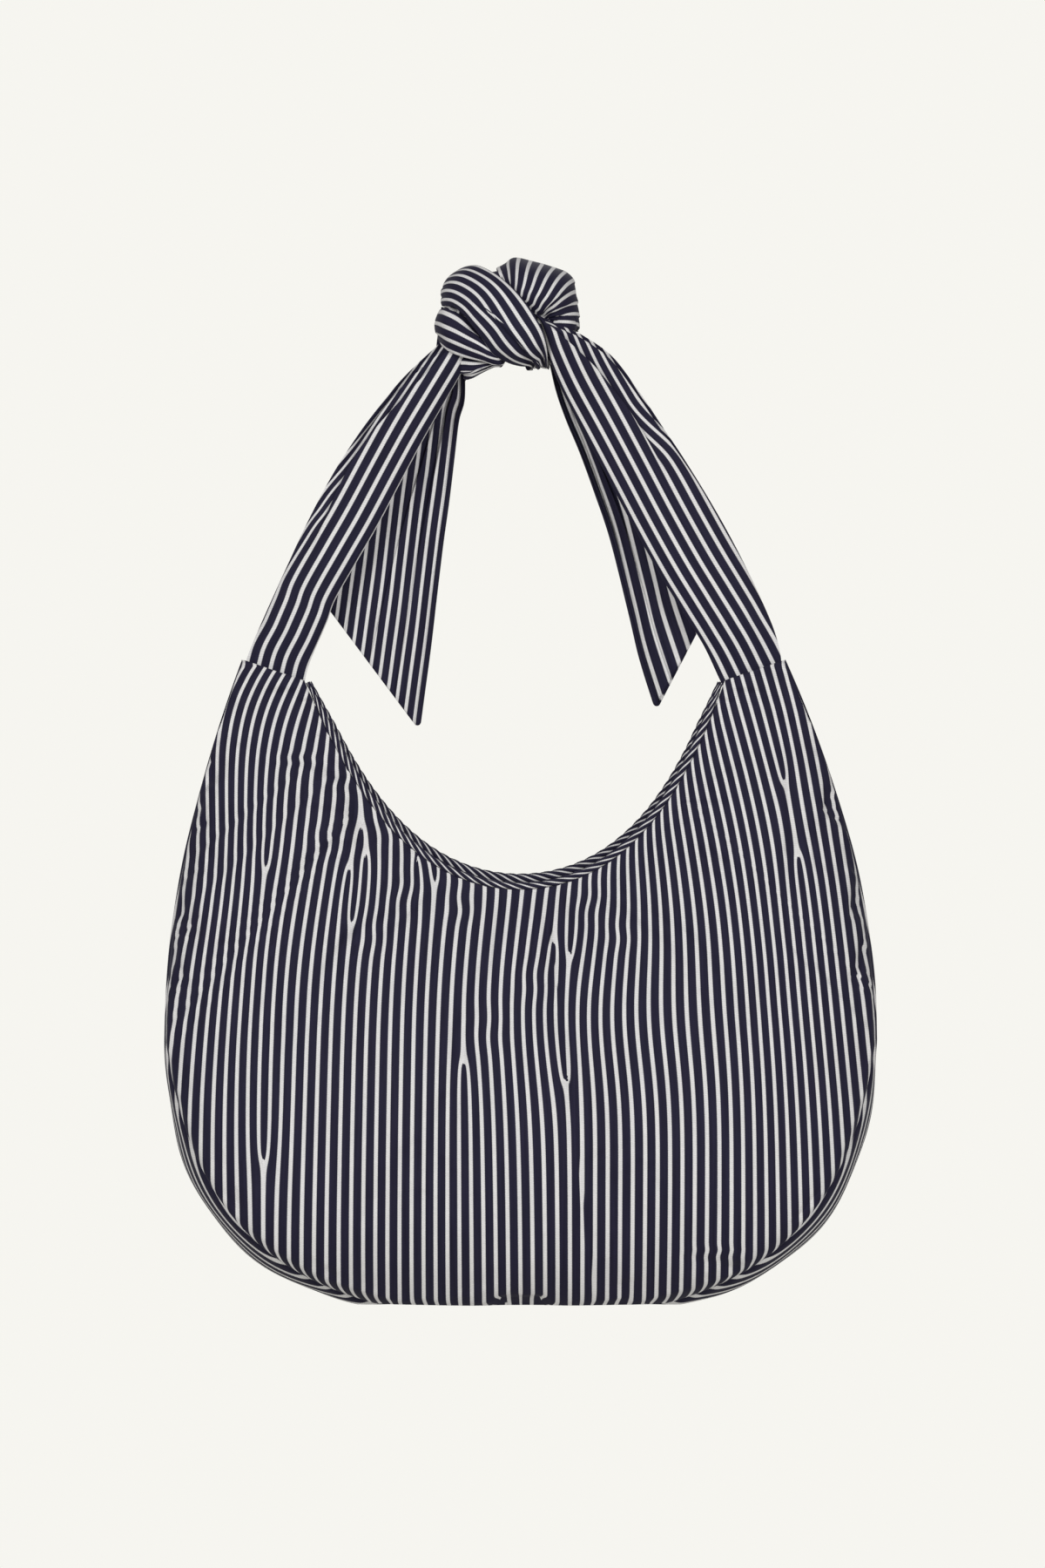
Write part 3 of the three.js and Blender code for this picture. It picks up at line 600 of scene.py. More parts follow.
def folds(x, z, below_mouth):
    """How far the cloth stands out from its smooth form, in metres."""
    out = np.zeros_like(x)
    for a, h, sign in FORKS:
        side = (x - a * MM - 3 * MM * sign) / MM
        long = bell((z - (h + 6) * MM) / MM, 20)
        out += (-1.5 * bell(side, 4.2) + 0.9 * bell(side - 9, 7) + 0.9 * bell(side + 9, 7)) * long * MM
    for a, width, depth in GATHERS:
        swing = 0.12 * below_mouth
        out -= depth * MM * bell((x - a * MM * (1 + 0.6 * swing)) / MM,
                                 width * 0.5) * np.exp(-below_mouth / 0.055)
    relaxed = np.sin(x * 61 + 3 * np.sin(z * 17 + 1)) * np.sin(z * 23 + 2.1 + 2 * np.sin(x * 19))
    relaxed += 0.6 * np.sin(x * 118 + 2.4 * np.sin(z * 31 + 0.4) + 1.3) * np.sin(z * 37 + 0.7)
    return out + 0.7 * MM * relaxed


def crease(x, z, a, b, width, depth):
    """A short crease from a to b, both in millimetres."""
    a, b = np.array(a) * MM, np.array(b) * MM
    way = ((x - a[0]) * (b - a)[0] + (z - a[1]) * (b - a)[1]) / ((b - a) ** 2).sum()
    near = np.clip(way, 0, 1)
    off = np.hypot(x - a[0] - near * (b - a)[0], z - a[1] - near * (b - a)[1])
    return -depth * MM * bell(off, width * MM) * smooth(4 * near * (1 - near) + 0.15)


# from, to, width and depth of each short crease
CREASES = (((-156, -224), (-113, -226), 3.0, 1.1), ((-112, -226), (-92, -236), 3.0, 1.0),
           ((96, -507), (127, -512), 3.5, 0.9), ((153, -222), (155, -318), 3.2, 1.3),
           ((160, -272), (158, -300), 2.6, 1.2), ((-146, -446), (-148, -470), 3.0, 1.0),
           ((-124, -505), (-96, -522), 3.0, 0.7), ((100, -520), (130, -509), 3.0, 0.8))


# %% [markdown]
# ## Front and back panel
# One grid serves both. At the outer seam the cloth turns in by a millimetre, which leaves the fine groove
# that a plain seam has. The back is the front's twin, with its stripes mirrored.

# %% Panels
PANEL_ROWS, PANEL_COLUMNS = 195, 480
LIP_HEIGHT, LIP_ROUNDING = 1.3 * MM, 1.6 * MM
EDGE_LEAN = 2.4 * MM
CLOTH = 1.1 * MM


LIP_STATIONS = np.array([0.0003, 0.0007, 0.0011, 0.0016])


def stations(count):
    """Places round the bag, with a few close ones at each shoulder for its rounded lip."""
    return np.sort(np.concatenate([np.linspace(0, 1, count), LIP_STATIONS, 1 - LIP_STATIONS]))


def groove(t_length):
    """The cloth's turn into a seam that is t_length away."""
    return -1.3 * MM * np.exp(-((t_length / (1.5 * MM)) ** 2))

# %% [markdown]
# ### Small folds from a cloth simulation
# A coarse copy of each panel, cut a little too large and sewn at its edge, is blown up until it settles.
# Its broad movement is left out, because the form above already gives that. The small folds that remain are
# laid on the panel.

# %% Blow up a coarse copy of each panel
SETTLED_ROWS, SETTLED_COLUMNS = 72, 150
FRAMES = 20
PRESSURE = 4.0
LOOSENESS = 0.04  # how much too large the cloth is cut
MOST_MOVED = 1.6 * MM


def broad_part(moved, cells=5, times=3):
    """What is left of a movement when everything finer than a few cells is smoothed away."""
    for _ in range(times):
        for axis in (0, 1):
            width = [(cells, cells) if other == axis else (0, 0) for other in (0, 1, 2)]
            padded = np.cumsum(np.pad(moved, width, mode="edge"), axis)
            padded = np.insert(padded, 0, 0, axis)
            count = moved.shape[axis]
            moved = (np.take(padded, np.arange(count) + 2 * cells + 1, axis)
                     - np.take(padded, np.arange(count), axis)) / (2 * cells + 1)
    return moved


def settle(side):
    """How each point of a coarse grid moves while the sewn panel is blown up and settles."""
    rows, columns = SETTLED_ROWS, SETTLED_COLUMNS
    s, t = np.meshgrid(np.linspace(0, 1, columns), np.linspace(0, 1, rows))
    rest = panel_point(side, s.T, t.T).transpose(1, 0, 2)
    piece = cloth(f"{side}_settling", rest, np.stack([s, t], -1), striped, flip=side == "back")
    sewn = piece.vertex_groups.new(name="sewn")
    edge = (s == 0) | (s == 1) | (t == 0) | (t == 1)
    sewn.add(np.flatnonzero(edge.ravel()).tolist(), 1.0, "REPLACE")
    modifier = piece.modifiers.new("cloth", "CLOTH")
    settings = modifier.settings
    settings.vertex_group_mass = "sewn"
    settings.quality = 6
    settings.mass = 0.1
    settings.tension_stiffness = settings.compression_stiffness = 12
    settings.shear_stiffness = 4
    settings.bending_stiffness = 0.05
    settings.shrink_min = -LOOSENESS
    settings.use_pressure = True
    settings.uniform_pressure_force = PRESSURE
    settings.effector_weights.gravity = 0
    modifier.collision_settings.use_collision = False
    for moment in range(1, FRAMES + 1):
        bpy.context.scene.frame_set(moment)
    settled = piece.evaluated_get(bpy.context.evaluated_depsgraph_get()).data
    after = np.empty(rest.size)
    settled.vertices.foreach_get("co", after)
    bpy.context.scene.frame_set(1)
    bpy.data.objects.remove(piece)
    moved = after.reshape(rest.shape) - rest
    fine = moved - broad_part(moved)
    far = np.linalg.norm(fine, axis=-1, keepdims=True)
    fine *= np.minimum(1, MOST_MOVED / np.maximum(far, 1e-9))
    print(f"{side} panel settled: moved {np.linalg.norm(moved, axis=-1).max() / MM:.1f} mm, small folds "
          f"{far.max() / MM:.1f} mm, on average {far.mean() / MM:.2f} mm")
    return fine * smooth(np.minimum(t, 1 - t) / 0.04)[..., None]


def read_grid(values, s, t):
    """Values of a coarse grid at places between its points."""
    row, column = t * (values.shape[0] - 1), s * (values.shape[1] - 1)
    i, j = np.minimum(row.astype(int), values.shape[0] - 2), np.minimum(column.astype(int),
                                                                        values.shape[1] - 2)
    a, b = (row - i)[..., None], (column - j)[..., None]
    return mix(mix(values[i, j], values[i, j + 1], b), mix(values[i + 1, j], values[i + 1, j + 1], b), a)


SETTLED = {side: settle(side) for side in ("front", "back")}


# %% The panels' grids
def panel_grid(side, depth=0.0, rows=PANEL_ROWS, columns=PANEL_COLUMNS, first=0.0, folded=1.0):
    t = first + (1 - first) * rows_of_panel(rows)
    s, t = np.meshgrid(stations(columns), t)
    grid = panel_point(side, s.T, t.T).transpose(1, 0, 2)
    normal = normals_of(grid) * (1 if side == "front" else -1)
    normal[-1] = outline_normal(s[-1])
    run = run_along(grid, 0)
    rest = run[-1:] - run
    x, z = grid[..., 0] * (1 if side == "front" else -1), grid[..., 2]
    middle = np.sin(np.pi * s)
    free = smooth(run / (4 * MM)) * smooth(rest / (14 * MM)) * smooth(middle / 0.25)
    out = folds(x, z, run) + sum(crease(x, z, *c) for c in CREASES)
    grid = grid + normal * ((out * free * folded) - depth + groove(rest))[..., None]
    grid = grid + folded * read_grid(SETTLED[side], s, t)
    half = -1 if side == "front" else 1
    grid[..., 1] = half * np.maximum(0.15 * MM, half * grid[..., 1])
    # The shoulder's edge is folded in over the strap's end, which makes a rounded lip.
    along = run_along(grid, 1)
    from_shoulder = np.minimum(along, along[:, -1:] - along)
    lip = np.sqrt(1 - (1 - np.clip(from_shoulder / LIP_ROUNDING, 0,
                                   1)) ** 2) * np.exp(-from_shoulder / (14 * MM))
    lifted = half * (LIP_HEIGHT - depth * 0.2) * lip * smooth(rest / (3 * MM))
    grid[..., 1] += lifted * smooth((run + 2 * MM) / (4 * MM))
    grid[..., 2] = np.maximum(grid[..., 2], BASE_Z + depth)
    return grid, run, s


def round_the_side(grid):
    """How much cloth that the front view hides lies between the middle and each point."""
    normal = normals_of(grid)
    level = np.cross(normal, (0, 0, 1))
    upright = np.linalg.norm(level, axis=-1)
    level /= np.maximum(upright[..., None], 1e-6)
    step = np.diff(grid, axis=0, prepend=grid[:1])
    length = np.abs((step * level).sum(-1))
    seen = np.diff(np.abs(grid[..., 0]), axis=0, prepend=np.abs(grid[:1, :, 0]))
    hidden = np.maximum(0, length - 1.25 * np.abs(seen)) - 2 * np.minimum(0, seen)
    steep = smooth((0.75 - np.abs(normal[..., 1])) / 0.25) * smooth((upright - 0.2) / 0.3)
    return np.cumsum(hidden * steep, 0) * np.sign(grid[..., 0])


# %% Make both panels
def make_panel(side):
    grid, run, s = panel_grid(side)
    sign = 1 if side == "front" else -1
    across = stripe_place(grid[..., 0] * sign, grid[..., 2])
    # Towards the binding the stripes lean outwards, because the edge was gathered as it was sewn.
    across += sign * round_the_side(grid)
    across -= EDGE_LEAN * np.tanh(grid[..., 0] * sign / (60 * MM)) * np.exp(-run / (6 * MM))
    uv = np.stack([across, grid[..., 2] - 0.25 * run], -1)
    panel = cloth(f"{side}_panel_cloth", grid, uv, striped, flip=side == "back")
    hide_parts(f"{side}_panel")
    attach(panel, "bag")
    return panel


front_panel = make_panel("front")
back_panel = make_panel("back")

# %% [markdown]
# ## The gussets
# A gusset is a long pointed lens. Its stripes run lengthwise, so at the seam they meet the panel's stripes
# at a slant, like a mitre. Seen from the front, only its lower half shows, as thin lines along the outline.

# %% Gussets
def gusset_grid(left, depth=0.0, rows=220, columns=41, first=0.0, last=0.43):
    s = np.linspace(first, last, rows)
    s = s if left else 1 - s
    v = np.linspace(-1, 1, columns)
    v = np.sign(v) * (1 - (1 - np.abs(v)) ** 1.3)
    s, v = np.meshgrid(s, v, indexing="ij")
    grid = outline_at(s) - outline_normal(s) * (inset_at(s) * v * v)[..., None]
    half = np.maximum(0.15 * MM, gusset_half(s) - 0.3 * MM - depth)
    grid[..., 1] = v * half
    rest = half * (1 - np.abs(v)) + 0.02 * MM
    ripple = 0.6 * MM * np.sin(s * 95 + 2 * v) * (1 - v * v) * smooth(half / (20 * MM))
    grid = grid + outline_normal(s) * (ripple - depth + groove(rest))[..., None]
    grid[..., 2] = np.maximum(grid[..., 2], BASE_Z + depth)
    return grid


def make_gusset(name, left):
    grid = gusset_grid(left)
    along = run_along(grid, 0)
    across = grid[..., 1] * 1.03 + PITCH * 0.5
    gusset = cloth(f"{name}_cloth", grid, np.stack([across, along], -1), striped, flip=not left,
                   thickness=CLOTH)
    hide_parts(name)
    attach(gusset, "bag")
    return gusset


left_gusset = make_gusset("left_gusset", True)
right_gusset = make_gusset("right_gusset", False)

# %% [markdown]
# ## The lining
# Behind the stripes lies a plain navy cotton lining. It is the same form a few millimetres further in, a
# little slacker, and is seen only from above, through the mouth.

# %% Lining
LINING_DEPTH = 3.6 * MM


def make_lining(name, grid, flip):
    along, across = run_along(grid, 0), run_along(grid, 1)
    piece = cloth(f"{name}_cloth", grid, np.stack([across, along], -1), lining_cotton, flip=flip,
                  thickness=0.5 * MM)
    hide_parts(name)
    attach(piece, "bag")
    return piece


for side in ("front", "back"):
    lining_grid = panel_grid(side, LINING_DEPTH, 60, 120, 0.02, 0.5)[0][:, 4:-4]
    make_lining(f"{side}_lining", lining_grid, side == "back")
for name, left in (("left_gusset_lining", True), ("right_gusset_lining", False)):
    make_lining(name, gusset_grid(left, LINING_DEPTH, 80, 17, 0.06, 0.41), not left)

# %% [markdown]
# ## The bindings
# A strip cut on the bias is folded over each edge of the mouth. A tube that follows the edge gives its
# roll, and its stripes wind round it at a slant. Geometry Nodes sweep a small round profile along the edge,
# and store where each point lies in the flat strip, so that the stripes can be drawn.

# %% Geometry Nodes helpers
def node_tree(name, inputs):
    tree = bpy.data.node_groups.new(name, "GeometryNodeTree")
    tree.interface.new_socket(name="Geometry", in_out="INPUT", socket_type="NodeSocketGeometry")
    for label, kind, default in inputs:
        socket = tree.interface.new_socket(name=label, in_out="INPUT", socket_type=kind)
        if default is not None:
            socket.default_value = default
    tree.interface.new_socket(name="Geometry", in_out="OUTPUT", socket_type="NodeSocketGeometry")
    return tree, tree.nodes.new("NodeGroupInput").outputs, tree.nodes.new("NodeGroupOutput").inputs


def add_node(tree, kind, **values):
    node = tree.nodes.new(kind)
    for label, value in values.items():
        value_of(tree, value, node.inputs[label.replace("_", " ")])
    return node


def end_tree(tree, geometry, material, output):
    """The last nodes of a tree: smooth faces, real instances and one material."""
    soft = add_node(tree, "GeometryNodeSetShadeSmooth", Geometry=geometry)
    real = add_node(tree, "GeometryNodeRealizeInstances", Geometry=soft.outputs[0])
    painted = add_node(tree, "GeometryNodeSetMaterial", Geometry=real.outputs[0], Material=material)
    tree.links.new(painted.outputs[0], output)


def path_object(name, points, radii=None):
    curve = bpy.data.curves.new(name, "CURVE")
    curve.dimensions = "3D"
    line = curve.splines.new("POLY")
    line.points.add(len(points) - 1)
    line.points.foreach_set("co", np.hstack([points, np.ones((len(points), 1))]).ravel())
    if radii is not None:
        line.points.foreach_set("radius", np.asarray(radii, np.float32))
    obj = bpy.data.objects.new(name, curve)
    bpy.context.scene.collection.objects.link(obj)
    return obj


def run_tree(name, source, tree, **values):
    """The tree's result on a source object, as a plain mesh object."""
    modifier = source.modifiers.new("tree", "NODES")
    modifier.node_group = tree
    for item in tree.interface.items_tree:
        if item.item_type == "SOCKET" and item.in_out == "INPUT" and item.name.replace(" ", "_") in values:
            modifier[item.identifier] = values[item.name.replace(" ", "_")]
    evaluated = source.evaluated_get(bpy.context.evaluated_depsgraph_get())
    mesh = bpy.data.meshes.new_from_object(evaluated)
    source.modifiers.remove(modifier)
    bpy.data.objects.remove(source)
    obj = bpy.data.objects.new(name, mesh)
    bpy.context.scene.collection.objects.link(obj)
    print(name, len(mesh.polygons), "faces")
    return obj


# %% The binding's tree
MATERIAL = "NodeSocketMaterial"
roll_tree, given, result = node_tree("bias roll", [
    ("Width", FLOAT, 5 * MM), ("Height", FLOAT, 4 * MM), ("Slant", FLOAT, 0.4), ("Pitch", FLOAT, 3.2 * MM),
    ("Ridge", FLOAT, 0.42 * MM), ("Material", MATERIAL, None),
])
maths = partial(calc, roll_tree)
upright = add_node(roll_tree, "GeometryNodeSetCurveNormal", Curve=given["Geometry"])
upright.mode = "Z_UP"
keep_along = add_node(roll_tree, "GeometryNodeCaptureAttribute", Geometry=upright.outputs[0])
keep_along.capture_items.new("FLOAT", "Along")
length = add_node(roll_tree, "GeometryNodeSplineParameter").outputs["Length"]
roll_tree.links.new(length, keep_along.inputs["Along"])
ring = add_node(roll_tree, "GeometryNodeCurvePrimitiveCircle")
ring.inputs["Resolution"].default_value = 24
ring.inputs["Radius"].default_value = 0.5
keep_around = add_node(roll_tree, "GeometryNodeCaptureAttribute", Geometry=ring.outputs[0])
keep_around.capture_items.new("FLOAT", "Around")
factor = add_node(roll_tree, "GeometryNodeSplineParameter").outputs["Factor"]
roll_tree.links.new(factor, keep_around.inputs["Around"])
# The round begins below, where the roll is sewn on and nobody sees the strip's end.
begin_below = add_node(roll_tree, "GeometryNodeTransform", Geometry=keep_around.outputs[0],
                       Rotation=(0, 0, 1.75))
size = add_node(roll_tree, "ShaderNodeCombineXYZ", X=given["Width"], Y=given["Height"], Z=1.0)
oval = add_node(roll_tree, "GeometryNodeTransform", Geometry=begin_below.outputs[0], Scale=size.outputs[0])
sweep = add_node(roll_tree, "GeometryNodeCurveToMesh", Curve=keep_along.outputs[0],
                 Profile_Curve=oval.outputs[0])
roll_tree.links.new(add_node(roll_tree, "GeometryNodeInputRadius").outputs[0], sweep.inputs["Scale"])
sweep.inputs["Fill Caps"].default_value = True
girth = maths("MULTIPLY", maths("ADD", given["Width"], given["Height"]), math.pi / 2)
wound = maths("MULTIPLY", keep_around.outputs["Around"], girth)
sine, cosine = maths("SINE", given["Slant"]), maths("COSINE", given["Slant"])
u_place = maths("SUBTRACT", maths("MULTIPLY", wound, cosine),
                maths("MULTIPLY", keep_along.outputs["Along"], sine))
v_place = maths("MULTIPLY_ADD", wound, sine, maths("MULTIPLY", keep_along.outputs["Along"], cosine))
# The cloth is drawn in along its cream lines, so the roll looks twisted like a rope.
turn = maths("MULTIPLY", maths("DIVIDE", u_place, given["Pitch"]), 2 * math.pi)
drawn_in = maths("MULTIPLY", maths("COSINE", turn), maths("MULTIPLY", given["Ridge"], -1.0))
outwards = add_node(roll_tree, "GeometryNodeInputNormal").outputs[0]
shift = roll_tree.nodes.new("ShaderNodeVectorMath")
shift.operation = "SCALE"
roll_tree.links.new(outwards, shift.inputs[0])
roll_tree.links.new(drawn_in, shift.inputs["Scale"])
ridged = add_node(roll_tree, "GeometryNodeSetPosition", Geometry=sweep.outputs[0], Offset=shift.outputs[0])
place = add_node(roll_tree, "ShaderNodeCombineXYZ", X=u_place, Y=v_place)
store = roll_tree.nodes.new("GeometryNodeStoreNamedAttribute")
store.data_type, store.domain = "FLOAT2", "CORNER"
roll_tree.links.new(ridged.outputs[0], store.inputs["Geometry"])
store.inputs["Name"].default_value = "UVMap"
roll_tree.links.new(place.outputs[0],
                    [item for item in store.inputs if item.name == "Value" and item.enabled][0])
end_tree(roll_tree, store.outputs[0], given["Material"], result["Geometry"])


# %% Sweep both bindings
def mouth_edge(side, count=340):
    s = np.linspace(0.002, 0.998, count)
    edge = panel_point(side, s, np.zeros_like(s))
    below = panel_point(side, s, np.full_like(s, 0.02))
    away = edge - below
    away[:, 1] = 0
    return edge, away / np.linalg.norm(away, axis=1, keepdims=True), np.sin(np.pi * s)


def make_binding(side, width, height, lift, slant):
    edge, away, middle = mouth_edge(side)
    half = -1 if side == "front" else 1
    centre = edge + away * lift
    inner = np.clip(middle / 0.35, 0.12, 1)
    centre[:, 1] = half * np.maximum(width * 0.5 * inner, np.abs(edge[:, 1]) - width * 0.28 * inner)
    path = path_object("edge", centre, mix(0.45, 1.0, smooth(middle / 0.3)))
    binding = run_tree(f"{side}_binding_roll", path, roll_tree, Width=width, Height=height, Slant=slant,
                       Pitch=BIAS_PITCH,
                       Material=striped_bias)
    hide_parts(f"{side}_binding")
    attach(binding, "bag")
    return binding


front_binding = make_binding("front", 4.6 * MM, 4.2 * MM, 1.9 * MM, 0.42)
back_binding = make_binding("back", 6.0 * MM, 6.0 * MM, 2.6 * MM, 0.50)

# %% [markdown]
# ## Inside the bag
# A slip pocket with a folded hem and a blank label are sewn to the back lining. A ray from the bag's middle
# finds where the lining is, so each of them lies on it. They hang at an even distance below the mouth's
# edge.

# %% Patches on the back lining
POCKET_WIDTH, POCKET_DROP, POCKET_HEIGHT, HEM_HEIGHT = 150 * MM, 62 * MM, 110 * MM, 10 * MM
LABEL_WIDTH, LABEL_HEIGHT, LABEL_DROP = 34 * MM, 16 * MM, 37 * MM
lining_surface = BVHTree.FromObject(bpy.data.objects["back_lining_cloth"],
                                    bpy.context.evaluated_depsgraph_get())
back_edge = mouth_edge("back")[0]
back_edge = back_edge[np.argsort(back_edge[:, 0])]


def on_lining(x, drop, lift):
    """Points on the back lining, a drop below the mouth's edge and lifted from the cloth."""
    z = np.interp(x, back_edge[:, 0], back_edge[:, 2]) - drop
    hits = [lining_surface.ray_cast(Vector((a, 0, b)), Vector((0, 1, 0)))[0].y for a,
            b in zip(x.ravel(), z.ravel())]
    return np.stack([x, np.reshape(hits, x.shape) - lift, z], -1)


def make_patch(name, width, top, height, thickness, material, puff=0.0, rows=40):
    x, drop = np.meshgrid(np.linspace(-width / 2, width / 2, 90), np.linspace(top, top + height, rows))
    grid = on_lining(x, drop, thickness + 0.3 * MM)
    off = np.cos(np.pi * x / width) ** 0.5 if puff else 0 * x
    grid[..., 1] -= puff * off * smooth((top + height - drop) / (0.6 * height))
    piece = cloth(f"{name}_cloth", grid, np.stack([x, drop], -1), material, thickness=thickness)
    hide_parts(name)
    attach(piece, "bag")
    return grid


pocket = make_patch("slip_pocket", POCKET_WIDTH, POCKET_DROP + HEM_HEIGHT, POCKET_HEIGHT - HEM_HEIGHT,
                    0.8 * MM, lining_cotton,
                    2.5 * MM)
hem = make_patch("pocket_hem", POCKET_WIDTH, POCKET_DROP, HEM_HEIGHT + 0.5 * MM, 1.6 * MM, lining_cotton,
                 2.5 * MM, 12)
label = make_patch("blank_label", LABEL_WIDTH, LABEL_DROP, LABEL_HEIGHT, 0.5 * MM, label_satin,
                   rows=16)

# %% [markdown]
# ### Stitches
# A stitch is a short bar of thread. Geometry Nodes lay one at every step along a path, turned the way the
# path runs, so a whole seam is a single line of points.

# %% The stitches' tree
stitch_tree, given, result = node_tree("stitches", [
    ("Stitch Length", FLOAT, 2.4 * MM), ("Gap", FLOAT, 0.9 * MM), ("Thread Radius", FLOAT, 0.22 * MM),
    ("Material", MATERIAL, None),
])
maths = partial(calc, stitch_tree)
step = maths("ADD", given["Stitch Length"], given["Gap"])
along_path = add_node(stitch_tree, "GeometryNodeResampleCurve", Curve=given["Geometry"])
along_path.mode = "LENGTH"
stitch_tree.links.new(step, along_path.inputs["Length"])
heading = add_node(stitch_tree, "GeometryNodeInputTangent").outputs[0]
turn = stitch_tree.nodes.new("FunctionNodeAlignRotationToVector")
turn.axis = "Z"
stitch_tree.links.new(heading, turn.inputs["Vector"])
bar = add_node(stitch_tree, "GeometryNodeMeshUVSphere")
bar.inputs["Segments"].default_value = 8
bar.inputs["Rings"].default_value = 8
bar.inputs["Radius"].default_value = 1.0
half_length = maths("MULTIPLY", given["Stitch Length"], 0.5)
bar_size = add_node(stitch_tree, "ShaderNodeCombineXYZ", X=given["Thread Radius"], Y=given["Thread Radius"],
                    Z=half_length)
laid = add_node(stitch_tree, "GeometryNodeInstanceOnPoints", Points=along_path.outputs[0],
                Instance=bar.outputs[0],
                Rotation=turn.outputs[0], Scale=bar_size.outputs[0])
end_tree(stitch_tree, laid.outputs[0], given["Material"], result["Geometry"])


# %% Sew
def sew(name, path, body, **values):
    stitches = run_tree(name, path_object("seam", path), stitch_tree, Material=thread_cotton, **values)
    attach(stitches, body)


def beside(grid, rows, columns, lift=0.15 * MM):
    """A line on a patch, a hair above its cloth."""
    line = grid[rows, columns].copy()
    line[:, 1] -= lift
    return line


sew("pocket_left_stitches", beside(pocket, slice(None), 2), "bag")
sew("pocket_right_stitches", beside(pocket, slice(None), -3), "bag")
sew("pocket_foot_stitches", beside(pocket, -2, slice(2, -2)), "bag")
sew("hem_stitches", beside(hem, -3, slice(1, -1)), "bag")
for edge_name, edge_rows, edge_columns in (("left", slice(1, -1), 3), ("right", slice(1, -1), -4)):
    sew(f"label_{edge_name}_stitches", beside(label, edge_rows, edge_columns), "bag",
        Stitch_Length=1.6 * MM, Gap=0.6 * MM)

# %% [markdown]
# ### The magnetic snap
# The two halves of the snap and their backing plates are rigid and already have the right shape. They only
# get a better metal: a warm grey steel with a fine grain.

# %% Snap
snap_metal = bpy.data.materials.new("brushed steel")
snap_metal.use_nodes = True
tree = snap_metal.node_tree
_, position = place_nodes(tree)
brushed = noise(tree, position, 900, 3)
shader = tree.nodes["Principled BSDF"]
shader.inputs["Metallic"].default_value = 1.0
tree.links.new(blend_colours(tree, brushed, (0.50, 0.49, 0.47, 1), (0.62, 0.61, 0.59, 1)),
               shader.inputs["Base Color"])
tree.links.new(calc(tree, "MULTIPLY_ADD", brushed, 0.16, 0.26), shader.inputs["Roughness"])
for name in ("snap_socket", "snap_stud", "snap_socket_plate", "snap_stud_plate"):
    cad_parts[name].data.materials[0] = snap_metal

# %% [markdown]
# ## The straps
# Each strap is a flat tube of cloth. It is sewn in at a shoulder, wide and smooth, and is gathered towards
# the knot, where a pleat tucks its outer part behind the inner one. Two edge lines carry the strap in the
# view from the front, and a profile between them gives its thickness and its pleat. Its stripes are laid
# out by the true length round the profile, so they crowd together by themselves where the cloth turns away.

# %% Strap edges, in millimetres across and up
LEFT_INNER = ((-124.5, -182), (-123.6, -176.5), (-120.5, -165.8), (-111.2, -144.3), (-106.7, -132),
              (-94.5, -110.5), (-82.2, -89.2), (-68.4, -63.2), (-56.2, -40.2), (-44, -18.8), (-34.8, -2.8),
              (-30, 6.5))
LEFT_OUTER = ((-157, -170), (-157, -164.5), (-148, -142.8), (-132.7, -109), (-121.2, -84.5), (-108.2, -60),
              (-94.5, -38.5), (-82.2, -21.9), (-66.8, -3.5), (-47, 15), (-41, 20.5))
RIGHT_INNER = ((116.5, -182), (113.5, -176), (105, -158), (92.8, -138.2), (80.5, -118.3), (66.8, -93.8),
               (51.5, -64.8), (36.2, -35.7), (24, -12.7), (16.3, 5.7), (13.2, 17), (11.2, 25), (8.5, 29),
               (5, 31))
RIGHT_OUTER = ((149.5, -170), (149.2, -163.5), (144.9, -147.4), (134.1, -122.9), (121.9, -98.4),
               (108.1, -73.9), (92.9, -49.4), (80.6, -31.1), (68.4, -12.7), (53, 7.2), (37, 18.5),
               (27.5, 22.8), (19, 26.2), (12, 29.5), (7, 33))


# %% Straps
def flat_tube(first, second, thickness, rows, columns, roundness=0.6):
    """The front and the back face of a flat tube between two edge lines."""
    first = by_length(spline(np.array(first) * MM, 300), rows)
    second = by_length(spline(np.array(second) * MM, 300), rows)
    share = 0.5 - 0.5 * np.cos(np.linspace(0, np.pi, columns))
    x = mix(first[:, :1], second[:, :1], share)
    z = mix(first[:, 1:], second[:, 1:], share)
    y = thickness * MM * np.maximum(1 - np.abs(2 * share - 1) ** 2.4, 0) ** roundness
    return np.stack([x, -y, z], -1), np.stack([x, y, z], -1)


def closed_ring(front, back):
    """Both faces joined to one ring for each row."""
    return np.concatenate([front, back[:, -2:0:-1]], 1)


def ripples(grid, marks):
    """Small creases: (row share, column share, length, width, depth in mm, slant)."""
    row = np.linspace(0, 1, grid.shape[0])[:, None]
    column = np.linspace(0, 1, grid.shape[1])[None]
    out = sum(depth * bell(row - r, long) * bell(column - c - slant * (row - r), wide)
              for r, c, long, wide, depth, slant in marks)
    return grid - normals_of(grid) * (out * MM)[..., None]


def strap_uv(grid, shift, front_columns, fold, crowding):
    """Across: the length round the profile, and more beyond the fold, where fine pleats hold more cloth.

    Along: the length up the strap.
    """
    ring = np.concatenate([grid, grid[:, :1]], 1)
    across = run_along(ring, 1)
    share = np.minimum(np.arange(ring.shape[1]) / (front_columns - 1), 1)[None]
    beyond = smooth((share - fold[:, None]) / 0.05) * (share < 1)
    across = np.cumsum(np.diff(across, axis=1, prepend=0) * (1 + crowding[:, None] * beyond), 1)
    along = np.repeat(run_along(grid[:, :1], 0), ring.shape[1], 1)
    return np.stack([across + shift, along], -1)


